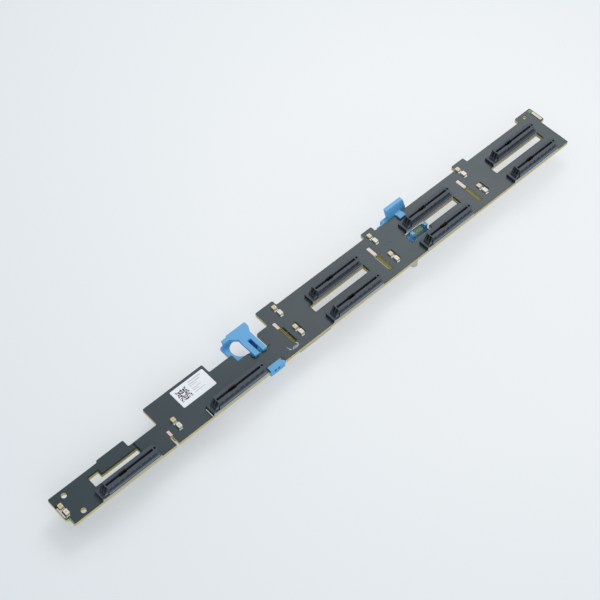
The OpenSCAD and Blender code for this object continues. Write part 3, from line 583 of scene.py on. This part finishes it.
print("soft copies:", sum(len(row[-1]) for row in SOFT_EDGES) + 1)

# %% [markdown]
# ## The board's own copy
#
# The laminate is copied too. Close up, the photograph shows two of the three narrow slots wider
# than the plain solid has them, all three nearer the left end, and the notch beside the left
# latch a shade narrower. The copy's corners there are moved, which leaves every face flat.

# %% Board copy and its routed slots
SLOT_WIDTH = 1.9
SLOT_Y = (5.0, 19.4)
# Each narrow slot: the middle of the CAD slot along the board, its width in the photograph, its move
SLOT_TRIMS = [(168.6, 1.7, -0.8), (248.7, 3.0, -0.65), (328.8, 3.1, -0.62)]
# A trim's box reaches this far to each side of a slot, and this far past the board's faces
TRIM_REACH = 1.0
OVER = 0.1
NOTCH_TRIM = ((155.1, 14.7, rear - OVER), (155.3, 25.2, OVER), AS_IS, (-0.4, 0.0, 0.0))
board_trims = [((x - TRIM_REACH, SLOT_Y[0], rear - OVER), (x + TRIM_REACH, SLOT_Y[1], OVER),
                (width / SLOT_WIDTH, 1, 1), (shift, 0.0, 0.0)) for x, width, shift in SLOT_TRIMS]
board = clean_copy("circuit_board", laminate_material, board_trims + [NOTCH_TRIM])
print("board copy:", len(board.data.polygons), "faces")

# %% [markdown]
# ## Contacts, pins and leads
#
# These are stamped strips a third of a millimetre wide. Their CAD boxes are already the right
# shape at that size, so they only get their metals.

# %% Metal for the small strips
METAL_NODES = {contact_gold: [f"socket_contacts_{n}" for n in range(1, 9)]
               + ["cable_contacts_1", "cable_contacts_2", "signal_pins"],
               pin_tin: ["power_pins", "controller_leads", "logic_leads"]}
for material, names in METAL_NODES.items():
    for name in names:
        for slot in nodes[name].material_slots:
            slot.material = material
print("metal nodes:", sum(len(names) for names in METAL_NODES.values()))

# %% [markdown]
# ## Outlines of the board's front
#
# A black ink covers the front, and stops short of cut edges and of bare copper, where the green
# mask shows. Its outline could be typed in by hand. Reading it from the CAD face is surer: the
# edges that only one triangle uses are chained, and each corner is moved into the material.

# %% Outlines of the front face
SAME_DIGITS = 7


def welded(mesh):
    """Corners of a mesh without doubles, and the corner numbers of each triangle."""
    mesh.calc_loop_triangles()
    points = np.array([v.co for v in mesh.vertices])
    corners = np.array([t.vertices for t in mesh.loop_triangles])
    whole, same = np.unique(points.round(SAME_DIGITS), axis=0, return_inverse=True)
    return whole, same.reshape(-1)[corners]


def face_loops(mesh, height):
    """Outlines of a flat face: edges that one triangle uses, chained from corner to corner."""
    whole, corners = welded(mesh)
    flat = corners[(np.abs(whole[corners][..., 2] - height) < MERGE).all(1)]
    edges = np.concatenate([flat[:, [0, 1]], flat[:, [1, 2]], flat[:, [2, 0]]]).tolist()
    used = {tuple(edge) for edge in edges}
    onward = {a: b for a, b in edges if (b, a) not in used}
    loops = []
    while onward:
        start, here = onward.popitem()
        chain = [start]
        while here != start:
            chain.append(here)
            here = onward.pop(here)
        loops.append((whole[chain] - board_corner)[:, :2] / MM)
    return loops


def drawn_in(loop, margin):
    """The outline moved into the material: each corner goes along both edge normals, by the margin."""
    ahead = np.roll(loop, -1, 0) - loop
    ahead = ahead / np.linalg.norm(ahead, axis=1, keepdims=True)
    normal = np.stack([-ahead[:, 1], ahead[:, 0]], -1)
    before = np.roll(normal, 1, 0)
    return loop + margin * (normal + before) / (1 + (normal * before).sum(1, keepdims=True))


def signed_area(loop):
    """Half the sum of cross products of neighbouring corners; below zero for a hole's outline."""
    x, y = loop.T
    return 0.5 * np.sum(x * np.roll(y, -1) - np.roll(x, -1) * y)


front_loops = face_loops(board.data, board_high.z)
outer = max(front_loops, key=signed_area)
holes = [loop for loop in front_loops if signed_area(loop) < 0]
print("front outline has", len(outer), "corners and", len(holes), "holes")

# %% [markdown]
# ## Where the ink stays away
#
# The ink leaves free the bare pads, the board's ends, the latch openings and the shaded sides of
# the slots. These places were measured in the photograph, through the fitted camera. They are
# rectangles, as in the board's own artwork, so two corners say enough.

# %% Places of pads and clear mask, in board millimetres
PADS = [((166.2, 19.4), (168.3, 24.4)), ((246.8, 19.3), (249.2, 26.6)), ((327.1, 19.3), (329.4, 26.6)),
        ((72.9, 6.5), (74.7, 10.5)), ((-1.8, 6.6), (-0.8, 14.2)), ((407.7, 25.2), (409.5, 33.6))]
CLEAR = [((-2.0, 5.0), (0.6, 16.0)), ((0.0, 0.4), (0.7, 5.4)), ((406.9, 24.2), (410.1, 36.7)),
         ((141.9, 14.1), (155.8, 15.4)), ((142.6, 0.0), (155.3, 4.0)), ((271.5, 10.5), (289.3, 13.9)),
         ((277.0, 13.4), (285.6, 18.4)), ((168.6, 6.2), (170.1, 13.9)), ((168.6, 14.5), (170.1, 18.6)),
         ((177.1, 7.4), (178.0, 16.6)), ((257.6, 7.6), (258.4, 16.4)), ((338.2, 7.8), (339.0, 16.2))]
print("places without ink:", len(PADS) + len(CLEAR))

# %% [markdown]
# ## Cutting the ink's sheet
#
# A constrained triangulation does the cutting: it takes all outlines at once and keeps each
# triangle that lies in the board's outline and in none of the holes. Boolean modifiers could do
# it too, but they often fail on a sheet as thin as this one.

# %% Ink sheet
OUTER_MARGIN = 0.14
HOLE_MARGIN = 0.28
SMALL_MARGIN = 0.02
SMALL_HOLE = 1.5
PAD_MARGIN = 0.22
INK_TOP = 0.02
# Ink ends further from the right and upper walls of a long window, so its outline is cut at each shift
WINDOW_LENGTH = 20.0
WINDOW_SHIFTS = np.array([(0.0, 0.0), (1.0, 0.0), (0.0, 0.7), (1.0, 0.7)])


def keep_region(inside, outside):
    """Triangles in the first outline and in none of the others, from a constrained triangulation."""
    loops = [inside] + [loop if signed_area(loop) > 0 else loop[::-1] for loop in outside]
    starts = np.cumsum([0] + [len(loop) for loop in loops])
    rings = [list(range(a, b)) for a, b in zip(starts[:-1], starts[1:])]
    found = delaunay_2d_cdt([Vector(p) for p in np.concatenate(loops)], [], rings, 0, MERGE)
    points, triangles, owners = np.array(found[0]), found[2], found[5]
    kept = [list(t) for t, own in zip(triangles, owners) if set(own) == {0}]
    used, corners = np.unique(kept, return_inverse=True)
    return points[used], corners.reshape(-1, 3).tolist()


def sheet_solid(points, triangles, low, high):
    """Thin closed solid: the triangles above, the same reversed below, and a wall on each open edge."""
    count = len(points)
    both = np.concatenate([np.column_stack([points, np.full(count, high)]),
                           np.column_stack([points, np.full(count, low)])])
    edges = [(t[k], t[(k + 1) % len(t)]) for t in triangles for k in range(len(t))]
    used = set(edges)
    walls = [[a, a + count, b + count, b] for a, b in edges if (b, a) not in used]
    return both, triangles + [[c + count for c in t[::-1]] for t in triangles] + walls


grown_pads = [box_loop(np.subtract(low, PAD_MARGIN), np.add(high, PAD_MARGIN)) for low, high in PADS]
clear = [box_loop(low, high) for low, high in CLEAR]
grown_holes = []
for hole in holes:
    length = np.ptp(hole[:, 0])
    margin = SMALL_MARGIN if length < SMALL_HOLE else HOLE_MARGIN
    shifts = WINDOW_SHIFTS if length > WINDOW_LENGTH else WINDOW_SHIFTS[:1]
    grown_holes += [drawn_in(hole, margin) + shift for shift in shifts]
ink_points, ink_triangles = keep_region(drawn_in(outer, OUTER_MARGIN), grown_holes + grown_pads + clear)
print("ink has", len(ink_triangles), "triangles")

# %% [markdown]
# The ink is a matte slate black with a satin sheen. Handling has left it a shade uneven, so its
# mottle is some 25 mm wide. Screen-printed ink has an even thickness, so one thin sheet does it.

# %% Front ink
ink = finish("slate_front_ink", ("#28383d", "#304147"), 0.46, 0.5, 0.01, mottle=25.0)
piece("front_ink", [(*sheet_solid(ink_points, ink_triangles, 0.0, INK_TOP), ink)])

# %% [markdown]
# ## Pads and printed lines
#
# Beside the narrow slots lie bare pads, tinned copper with a pinkish cast. Tin draws together
# as it cools, so a pad is a low cushion with a round rim. Two cream lines are screen printed.

# %% Pads and lines
PAD_TOP = 0.07
PAD_FORM = {"low": 0.0, "high": PAD_TOP, "radius": 0.25, "soft": PAD_TOP * 0.8, "steps": 3}
PRINT_FORM = {"low": 0.0, "high": 0.035, "radius": 0.1, "soft": 0.02}
LINES = [((98.95, 0.1), (99.5, 6.5)), ((277.7, 17.45), (288.8, 18.5))]
# Screen print: an opaque cream that lies a little proud of the ink
print_cream = finish("screen_print_cream", ("#fbfaf2", "#f6f4e8"), 0.5, 0.3, 0.004, mottle=1.0)
piece("bare_pads", [(*block_over(pad, PAD_FORM), pad_copper) for pad in PADS])
piece("printed_lines", [(*block_over(line, PRINT_FORM), print_cream) for line in LINES])

# %% [markdown]
# ## Copper under the mask, with painted light and shade
#
# Where copper lies under the green mask without ink, the green is lighter: on the tongue in the
# fourth window, along the bay below it, and at the ends of the latch openings. That green is also
# painted lighter, as painted light and sheen. Beside two of the narrow slots the mask ends in a
# paler rim. Next to slots and windows, a strip of mask lies in shade and is painted almost black,
# as painted shade. Each is made as a thin, low soft block.

# %% Copper under the mask, with painted light and shade
MASKED = [((277.75, 14.3), (284.85, 17.85)), ((146.5, 14.15), (149.5, 14.85)), ((143.6, 3.45), (154.5, 3.85)),
          ((273.9, 10.55), (288.7, 10.95)), ((406.95, 33.9), (409.9, 36.4)), ((409.55, 24.4), (410.0, 33.9)),
          ((-1.8, 5.5), (-0.4, 6.3)), ((0.1, 0.6), (0.6, 5.2))]
RIMS = [((246.25, 6.5), (246.6, 18.4)), ((246.3, 18.65), (249.0, 19.2)), ((326.9, 18.65), (329.1, 19.2))]
DARK = [((168.7, 6.3), (170.0, 13.8)), ((168.7, 14.6), (170.0, 18.5)), ((177.2, 7.5), (178.0, 16.5)),
        ((257.65, 7.7), (258.4, 16.3)), ((338.25, 7.9), (339.0, 16.1))]
# A long window's shaded strip, from its lower and its upper right corner
STRIP_FROM, STRIP_TO = (0.1, 1.2), (1.1, 0.75)
for loop in holes:
    if np.ptp(loop[:, 0]) > WINDOW_LENGTH:
        right = loop[:, 0].max()
        DARK += [((right + STRIP_FROM[0], loop[:, 1].min() + STRIP_FROM[1]),
                  (right + STRIP_TO[0], loop[:, 1].max() + STRIP_TO[1]))]
# Painted light: the copper green is painted lighter; painted shade: the strips beside slots and windows are
# painted nearly black
mask_green_painted_lighter = finish("mask_over_copper_painted_lighter", ("#69936d", "#5f8a63"), 0.5, 0.4, 0.006, mottle=2.0)
mask_dark = finish("mask_in_shade", ("#08140a", "#0a190d"), 0.85, 0.4, 0.006, mottle=2.0)
mask_rim = finish("mask_rim", ("#b6bba3", "#a9ae95"), 0.5, 0.4, 0.006, mottle=2.0)
prints = [(box, mask_green_painted_lighter) for box in MASKED] + [(box, mask_rim) for box in RIMS]
prints += [(box, mask_dark) for box in DARK]
piece("masked_copper_painted_light_and_shade", [(*block_over(box, PRINT_FORM), mask) for box, mask in prints])

# %% [markdown]
# ## Rub marks
#
# The scuff near the lower edge is three rubbed strokes. A stroke is an outline on both sides of
# a path, with a width that swells in its middle, and noise lets the ink show through it.

# %% Rub marks
STROKES = [([(161.7, 6.6), (161.9, 5.2), (162.4, 3.8), (163.4, 2.8)], 0.7),
           ([(162.9, 2.9), (164.4, 3.1), (165.8, 3.4), (167.2, 3.2), (168.3, 2.8)], 1.6),
           ([(167.9, 2.8), (168.4, 3.9), (168.2, 5.0), (167.6, 5.8)], 1.0)]
STROKE_TIP = 0.08
RUB_THICK = 0.006
RUB_GAPS = 1.3
RUB_LOW, RUB_HIGH = 0.34, 0.66


def stroke(path, width, steps=12):
    """Flat closed ribbon: points along the path plus and minus its normal times a half sine of the width."""
    path = np.array(path, float)
    share = np.linspace(0, 1, len(path))
    along = np.linspace(0, 1, steps)
    middle = np.stack([np.interp(along, share, path[:, k]) for k in (0, 1)], -1)
    ahead = np.gradient(middle, axis=0)
    ahead /= np.linalg.norm(ahead, axis=1, keepdims=True)
    reach = STROKE_TIP + width / 2 * np.sin(math.pi * along)
    side = np.stack([-ahead[:, 1], ahead[:, 0]], -1) * reach[:, None]
    outline = np.concatenate([middle - side, (middle + side)[::-1]])
    return stacked([outline] * 2, [INK_TOP, INK_TOP + RUB_THICK])


def rubbed_ink():
    """Pale rubbed ink that noise breaks up into the slate below it."""
    material = finish("rubbed_ink", ("#c9cdd0", "#bfc4c8"), 0.55, 0.3, 0.004, mottle=1.0)
    tree, shader, pale = opened(material)
    place = add(tree, "TexCoord").outputs["Object"]
    broken = add(tree, "TexNoise", {"Vector": place, "Scale": per_mm(RUB_GAPS), "Detail": FINE_DETAIL})
    share = add(tree, "MapRange", {"Value": broken.outputs["Fac"], "From Min": RUB_LOW, "From Max": RUB_HIGH})
    colour = add(tree, "Mix", {FACTOR: share.outputs["Result"], COLOUR_A: linear("#4a5459"),
                              COLOUR_B: pale}, data_type="RGBA")
    tree.links.new(colour.outputs[COLOUR_OUT], shader.inputs["Base Color"])
    return material


rub_material = rubbed_ink()
piece("rub_marks", [(*stroke(path, width), rub_material) for path, width in STROKES])

# %% [markdown]
# ## Small closures
#
# Some openings don't show the floor. The test hole holds a near-black disc, painted shade for
# its depth. The gap between the left latch's arms ends on a web, and a rib and a wing of the right
# latch lie below the bay; the web and rib are painted a deeper blue, as painted shade. Part of the
# bay's upper wall carries a cream strip.

# %% Closures
TEST_HOLE = (261.9, 21.05)
TEST_HOLE_RADIUS = 0.49
PLUG_HEIGHTS = [rear + 0.3, -0.15]
WEB = ((145.9, 19.5), (150.4, 27.0))
WEB_FORM = {"low": -2.35, "high": -1.2, "radius": 0.3, "soft": 0.15}
RIB = ((275.2, 12.3), (288.4, 13.6))
RIB_FORM = {"low": -2.6, "high": -2.2, "radius": 0.3, "soft": 0.1}
WING = ((270.9, 11.8), (275.2, 17.6))
WING_FORM = {"low": -2.6, "high": -2.42, "radius": 0.3, "soft": 0.05}
WALL = ((273.4, 18.2), (277.6, 18.6))
WALL_HEIGHTS = [-0.9, 0.0]
WALL_CORNER = 0.03
# Painted shade: a near-black disc stands in the test hole for the shade in its depth
hole_shade = finish("test_hole_painted_shade", ("#101516", "#161b1d"), 0.7, 0.3, 0.004)
# Painted shade: the web and rib take a deeper blue where the latch lies in shade
latch_blue_painted_shade = finish("blue_polycarbonate_painted_shade", ("#30529a", "#365aa2"), 0.45, 0.3, 0.008, mottle=7.0)
piece("latch_web", [(*block_over(WEB, WEB_FORM), latch_blue_painted_shade)])
piece("strap_rib", [(*block_over(RIB, RIB_FORM), latch_blue_painted_shade), (*block_over(WING, WING_FORM), latch_blue)])
wall_middle, wall_size = middle_and_size(WALL)
wall = stacked([rounded_ring(*wall_size, WALL_CORNER)] * 2, WALL_HEIGHTS)
piece("bay_wall_edge", [(*moved(wall, (*wall_middle, 0)), print_cream)])
# Disc of painted shade in the test hole
resin = stacked([circle_ring(TEST_HOLE_RADIUS, steps=16)] * 2, PLUG_HEIGHTS)
piece("test_hole_plug", [(*moved(resin, (*TEST_HOLE, 0)), hole_shade)])

# %% [markdown]
# ## Ledges in the slots
#
# The narrow slots don't show the floor either: a ledge of bare, routed laminate stands a little
# below the front in each. It is a soft block from the slot's right wall almost to its left one.

# %% Ledges in the slots
LEDGE_GAP = 0.12
LEDGE_SHORTER = 0.6
LEDGE_FORM = {"low": rear + 0.3, "high": -0.7, "radius": 0.3, "soft": 0.1}
ledge_parts = []
for x, width, shift in SLOT_TRIMS:
    ledge = soft_block(width - LEDGE_GAP, SLOT_Y[1] - SLOT_Y[0] - LEDGE_SHORTER, **LEDGE_FORM)
    ledge_parts.append((*moved(ledge, (x + shift + LEDGE_GAP / 2, sum(SLOT_Y) / 2, 0)), routed_laminate))
piece("slot_ledges", ledge_parts)

# %% [markdown]
# ## Status lights
#
# Each pair is two surface-mounted packages in a line: the upper one has an amber cup, the lower
# one a white cup. A package is a resin block between two metal ends, with a lens in its top.
# Three solder joints hold a pair. It is a small thing, so few faces are enough.

# %% Light packages
AMBER_AT, AMBER_SIZE = (-0.3, 1.9), (2.6, 3.4)
WHITE_AT, WHITE_SIZE = (-0.05, -3.1), (2.5, 4.0)
JOINTS = [((-0.2, -0.45), (2.2, 0.9)), ((-1.7, -0.5), (0.8, 1.5)), ((-0.7, -5.6), (2.5, 0.9))]
PACKAGE_FORM = {"low": 0.05, "high": 1.1, "radius": 0.15, "soft": 0.1}
END_FORM = {"low": 0.0, "high": 0.7, "radius": 0.1, "soft": 0.15}
JOINT_FORM = {"low": 0.0, "high": 0.35, "radius": 0.3, "soft": 0.25, "steps": 3}
END_LENGTH = 0.4
END_WIDTH_SHARE = 0.9
LENS_RADIUS = 0.65
LENS_LOW = 1.08
LENS_HEIGHT = 0.06
LENS_TURN = 1.35
LENS_RINGS = 4


def light_parts(centre, size, resin, lens):
    """Resin block, two metal ends and a low lens, whose rings follow a quarter circle, about one middle."""
    x, y = centre
    width, length = size
    body = soft_block(width, length - 2 * END_LENGTH, **PACKAGE_FORM)
    reach = (length - END_LENGTH) / 2
    ends = repeated(soft_block(width * END_WIDTH_SHARE, END_LENGTH, **END_FORM),
                    [(x, y - reach, 0), (x, y + reach, 0)])
    turn = np.linspace(0, 1, LENS_RINGS) * LENS_TURN
    rings = [circle_ring(LENS_RADIUS * share) for share in np.cos(turn)]
    dome = stacked(rings, LENS_LOW + LENS_HEIGHT * np.sin(turn))
    return [(*moved(body, (x, y, 0)), resin), (*ends, solder), (*moved(dome, (x, y, 0)), lens)]


for n in range(1, 9):
    low, high = node_box(f"status_lights_{n}")
    middle = ((low + high) / 2)[:2]
    parts = light_parts(middle + AMBER_AT, AMBER_SIZE, cap_amber, lens_amber)
    parts += light_parts(middle + WHITE_AT, WHITE_SIZE, cap_white, lens_pale)
    parts += [(*moved(soft_block(*size, **JOINT_FORM), (*(middle + at), 0)), solder) for at, size in JOINTS]
    piece(f"status_lights_{n}_finished", parts, [f"status_lights_{n}"])

# %% [markdown]
# ## Label
#
# The label is white coated film with rounded corners. A flat card would do, but its cut edge
# catches light, so it is a thin soft block from the ink up to the top of the CAD label.

# %% Label
LABEL_CORNER = 0.7
LABEL_SOFT = 0.02
label_low, label_high = node_box("label_sticker")
label_size = label_high - label_low
label_middle = (label_low + label_high) / 2
label_top = label_high[2]
# Coated film: bright white and smooth, with a soft gloss
label_film = finish("coated_label_film", ("#fafcfd", "#f4f7f8"), 0.35, 0.5, 0.004, mottle=9.0)
label_shape = soft_block(label_size[0], label_size[1], INK_TOP, label_top, LABEL_CORNER, LABEL_SOFT)
piece("label_finished", [(*moved(label_shape, (label_middle[0], label_middle[1], 0)), label_film)],
      ["label_sticker"])
print("label:", np.round(label_size, 2), "mm")

# %% [markdown]
# Its print is a square block pattern and plain bars. Half of the pattern is drawn at random from
# a fixed seed and mirrored, so it stays a pattern. Heat makes the print, so each cell and bar is
# a tile far thinner than the film.

# %% Label print
BLOCK_CELLS = 18
BLOCK_SIZE = 7.8
BLOCK_AT = (92.6, 18.9)
PATTERN_SEED = 7
FILLED_ABOVE = 0.5
PRINT_THICK = 0.006
BARS = [((102.2, 25.6), (110.5, 26.1)), ((102.2, 24.3), (107.6, 24.7)), ((102.2, 22.2), (108.8, 22.6)),
        ((102.2, 20.9), (106.4, 21.3)), ((102.2, 19.4), (109.8, 19.8)), ((103.0, 27.2), (112.2, 27.7))]


def printed_tile(width, length):
    """Thin tile about its own middle: one rectangle at two heights."""
    corner = np.array([width, length]) / 2
    return stacked([box_loop(-corner, corner)] * 2, [0.0, PRINT_THICK])


# Thermal print: near black where it is dense, pale grey where its lines are hair thin
print_ink = finish("thermal_print", ("#24272a", "#2c3033"), 0.5, 0.3, 0.002)
print_grey = finish("thermal_print_pale", ("#b9bdc0", "#c4c8cb"), 0.5, 0.3, 0.002)
half = np.random.default_rng(PATTERN_SEED).random((BLOCK_CELLS, BLOCK_CELLS // 2)) > FILLED_ABOVE
rows, columns = np.nonzero(np.concatenate([half, half[:, ::-1]], 1))
cell = BLOCK_SIZE / BLOCK_CELLS
cell_places = np.column_stack([BLOCK_AT[0] + (columns + 0.5) * cell, BLOCK_AT[1] + (rows + 0.5) * cell,
                               np.full(len(rows), label_top)])
print_parts = [(*repeated(printed_tile(cell, cell), cell_places), print_ink)]
for bar in BARS:
    bar_middle, bar_size = middle_and_size(bar)
    print_parts.append((*moved(printed_tile(*bar_size), (*bar_middle, label_top)), print_grey))
piece("label_print", print_parts)

# %% [markdown]
# ## Small parts on the rear
#
# A chip capacitor is a tan ceramic block between two tinned ends, and a chip resistor a black
# one. The CAD node holds a row of plain blocks. Each block's box is measured from the node and
# gets a body and two end caps, made once and repeated, since they are there by the dozen.

# %% Chip parts
CAP_SHARE = 0.24
CAP_CORNER = 0.08
BODY_THINNER = 0.04


def solid_boxes(node):
    """Boxes of a node's solids: corners of one triangle take its smallest label until none changes."""
    whole, corners = welded(nodes[node].data)
    label = np.arange(len(whole))
    while True:
        smallest = label[corners].min(1)
        new = label.copy()
        np.minimum.at(new, corners, smallest[:, None])
        if (new == label).all():
            break
        label = new
    groups = [(whole[label == value] - board_corner) / MM for value in np.unique(label)]
    return np.array([g.min(0) for g in groups]), np.array([g.max(0) for g in groups])


def chip_row(node, body):
    """Bodies and end caps for every block of a node, all from one block's size."""
    low, high = solid_boxes(node)
    size, middle = (high - low)[0], (low + high) / 2
    places = np.column_stack([middle[:, :2], np.zeros(len(middle))])
    cap = size[1] * CAP_SHARE
    core = stacked([rounded_ring(size[0] - BODY_THINNER, size[1] - cap, CAP_CORNER)] * 2,
                   [rear - size[2] + BODY_THINNER, rear])
    end = stacked([rounded_ring(size[0] - 2 * d, cap - 2 * d, CAP_CORNER) for d in (BODY_THINNER, 0.0, 0.0)],
                  [rear - size[2], rear - size[2] + BODY_THINNER, rear])
    shift = (size[1] - cap) / 2
    ends = np.concatenate([places + (0, shift, 0), places - (0, shift, 0)])
    parts = [(*repeated(core, places), body), (*repeated(end, ends), pin_tin)]
    piece(node + "_finished", parts, [node])


chip_row("ceramic_capacitors", ceramic_tan)
chip_row("chip_resistors", resistor_black)

# %% [markdown]
# ## Floor
#
# The photograph was taken on a pale sweep under broad soft light. A plain white floor would turn
# grey under these lamps, so the camera sees part of it as its own colour. The other part stays
# lit and keeps the soft shadow. The shown part grows to the right, which paints the shadow lighter
# there, and its colour is painted darker towards the corners, as painted shade.

# %% Floor
FLOOR_REACH = 4.0
FLOOR_GAP = 0.02
# Painted light: the shown share grows from left to right, so the shadow is painted lighter on the right
FLOOR_SHOWN = (0.4, 0.74)
SHOWN_FROM, SHOWN_TO = -0.2, 0.2
FLOOR_MIDDLE = (0.1, -0.02, 0.0)
# Painted shade: the shown colour darkens between these distances from the middle, towards the corners
FLOOR_FALL = (0.15, 0.6)


def pale_sweep():
    """Matte floor that camera and gloss see partly as its own colour; the share grows to the right, painting
    the shadow lighter there, and the shown colour is painted darker at the corners.
    """
    material = finish("pale_sweep", ("#f0f4f5", "#f4f7f8"), 0.7, 2.0, 0.02, mottle=400.0)
    tree, lit = opened(material)[:2]
    path = add(tree, "LightPath")
    seen = add(tree, "Math", {0: path.outputs["Is Camera Ray"], 1: path.outputs["Is Glossy Ray"]},
               operation="MAXIMUM")
    through = add(tree, "Math", {0: seen.outputs[0], 1: path.outputs["Is Transmission Ray"]},
                  operation="MAXIMUM")
    place = add(tree, "TexCoord").outputs["Object"]
    along = add(tree, "SeparateXYZ", {0: place})
    shown = add(tree, "MapRange", {"Value": along.outputs["X"], "From Min": SHOWN_FROM,
                                  "From Max": SHOWN_TO, "To Min": FLOOR_SHOWN[0], "To Max": FLOOR_SHOWN[1]})
    share = add(tree, "Math", {0: through.outputs[0], 1: shown.outputs["Result"]}, operation="MULTIPLY")
    away = add(tree, "VectorMath", {0: place, 1: FLOOR_MIDDLE}, operation="DISTANCE")
    corner = add(tree, "MapRange", {"Value": away.outputs["Value"], "From Min": FLOOR_FALL[0],
                                   "From Max": FLOOR_FALL[1]})
    shade = add(tree, "Mix", {FACTOR: corner.outputs["Result"], COLOUR_A: linear("#f2f5f6"),
                             COLOUR_B: linear("#cdd6da")}, data_type="RGBA")
    plain = add(tree, "Emission", {"Color": shade.outputs[COLOUR_OUT], "Strength": 1.0})
    both = add(tree, "MixShader", {0: share.outputs[0], 1: lit.outputs[0], 2: plain.outputs[0]})
    tree.links.new(both.outputs[0], tree.nodes["Material Output"].inputs["Surface"])
    return material


floor_mesh = bpy.data.meshes.new("floor")
floor_ring = box_loop((-FLOOR_REACH, -FLOOR_REACH), (FLOOR_REACH, FLOOR_REACH))
floor_mesh.from_pydata(np.column_stack([floor_ring, np.zeros(4)]), [], [(0, 1, 2, 3)])
floor_mesh.materials.append(pale_sweep())
floor = new_object("floor", floor_mesh)
floor.location.z = cad_box[0].z - FLOOR_GAP * MM
print("floor reaches", FLOOR_REACH, "m each way")

# %% [markdown]
# ## Sky and lamps
#
# A bright sky gives most of the light. A soft box stands beyond the right end, so the board's
# sheen grows to the right and its soft shadow falls towards the viewer. A larger box in front
# lifts the lower edge. Together they light a flat surface to about its own colour.

# %% Sky and lamps
SKY_STRENGTH = 0.6
# Each lamp: its place and the side of its square in metres, and its watts
LAMPS = {"soft_box": ((0.68, 0.52, 0.86), 0.6, 5.6), "front_box": ((-0.45, -1.1, 0.75), 0.9, 4.5)}

world = bpy.data.worlds.new("sky")
bpy.context.scene.world = world
world.use_nodes = True
sky = world.node_tree.nodes["Background"]
sky.inputs["Color"].default_value = linear("#e9eff8")
sky.inputs["Strength"].default_value = SKY_STRENGTH
for name, (place, size, watts) in LAMPS.items():
    lamp_data = bpy.data.lights.new(name, "AREA")
    lamp_data.size = size
    lamp_data.energy = watts
    lamp = new_object(name, lamp_data)
    lamp.location = place
    lamp.rotation_euler = (-Vector(place)).to_track_quat("-Z", "Y").to_euler()
    print(name, round(Vector(place).length, 2), "m from the middle of the board")
bpy.context.scene.view_settings.view_transform = "Standard"
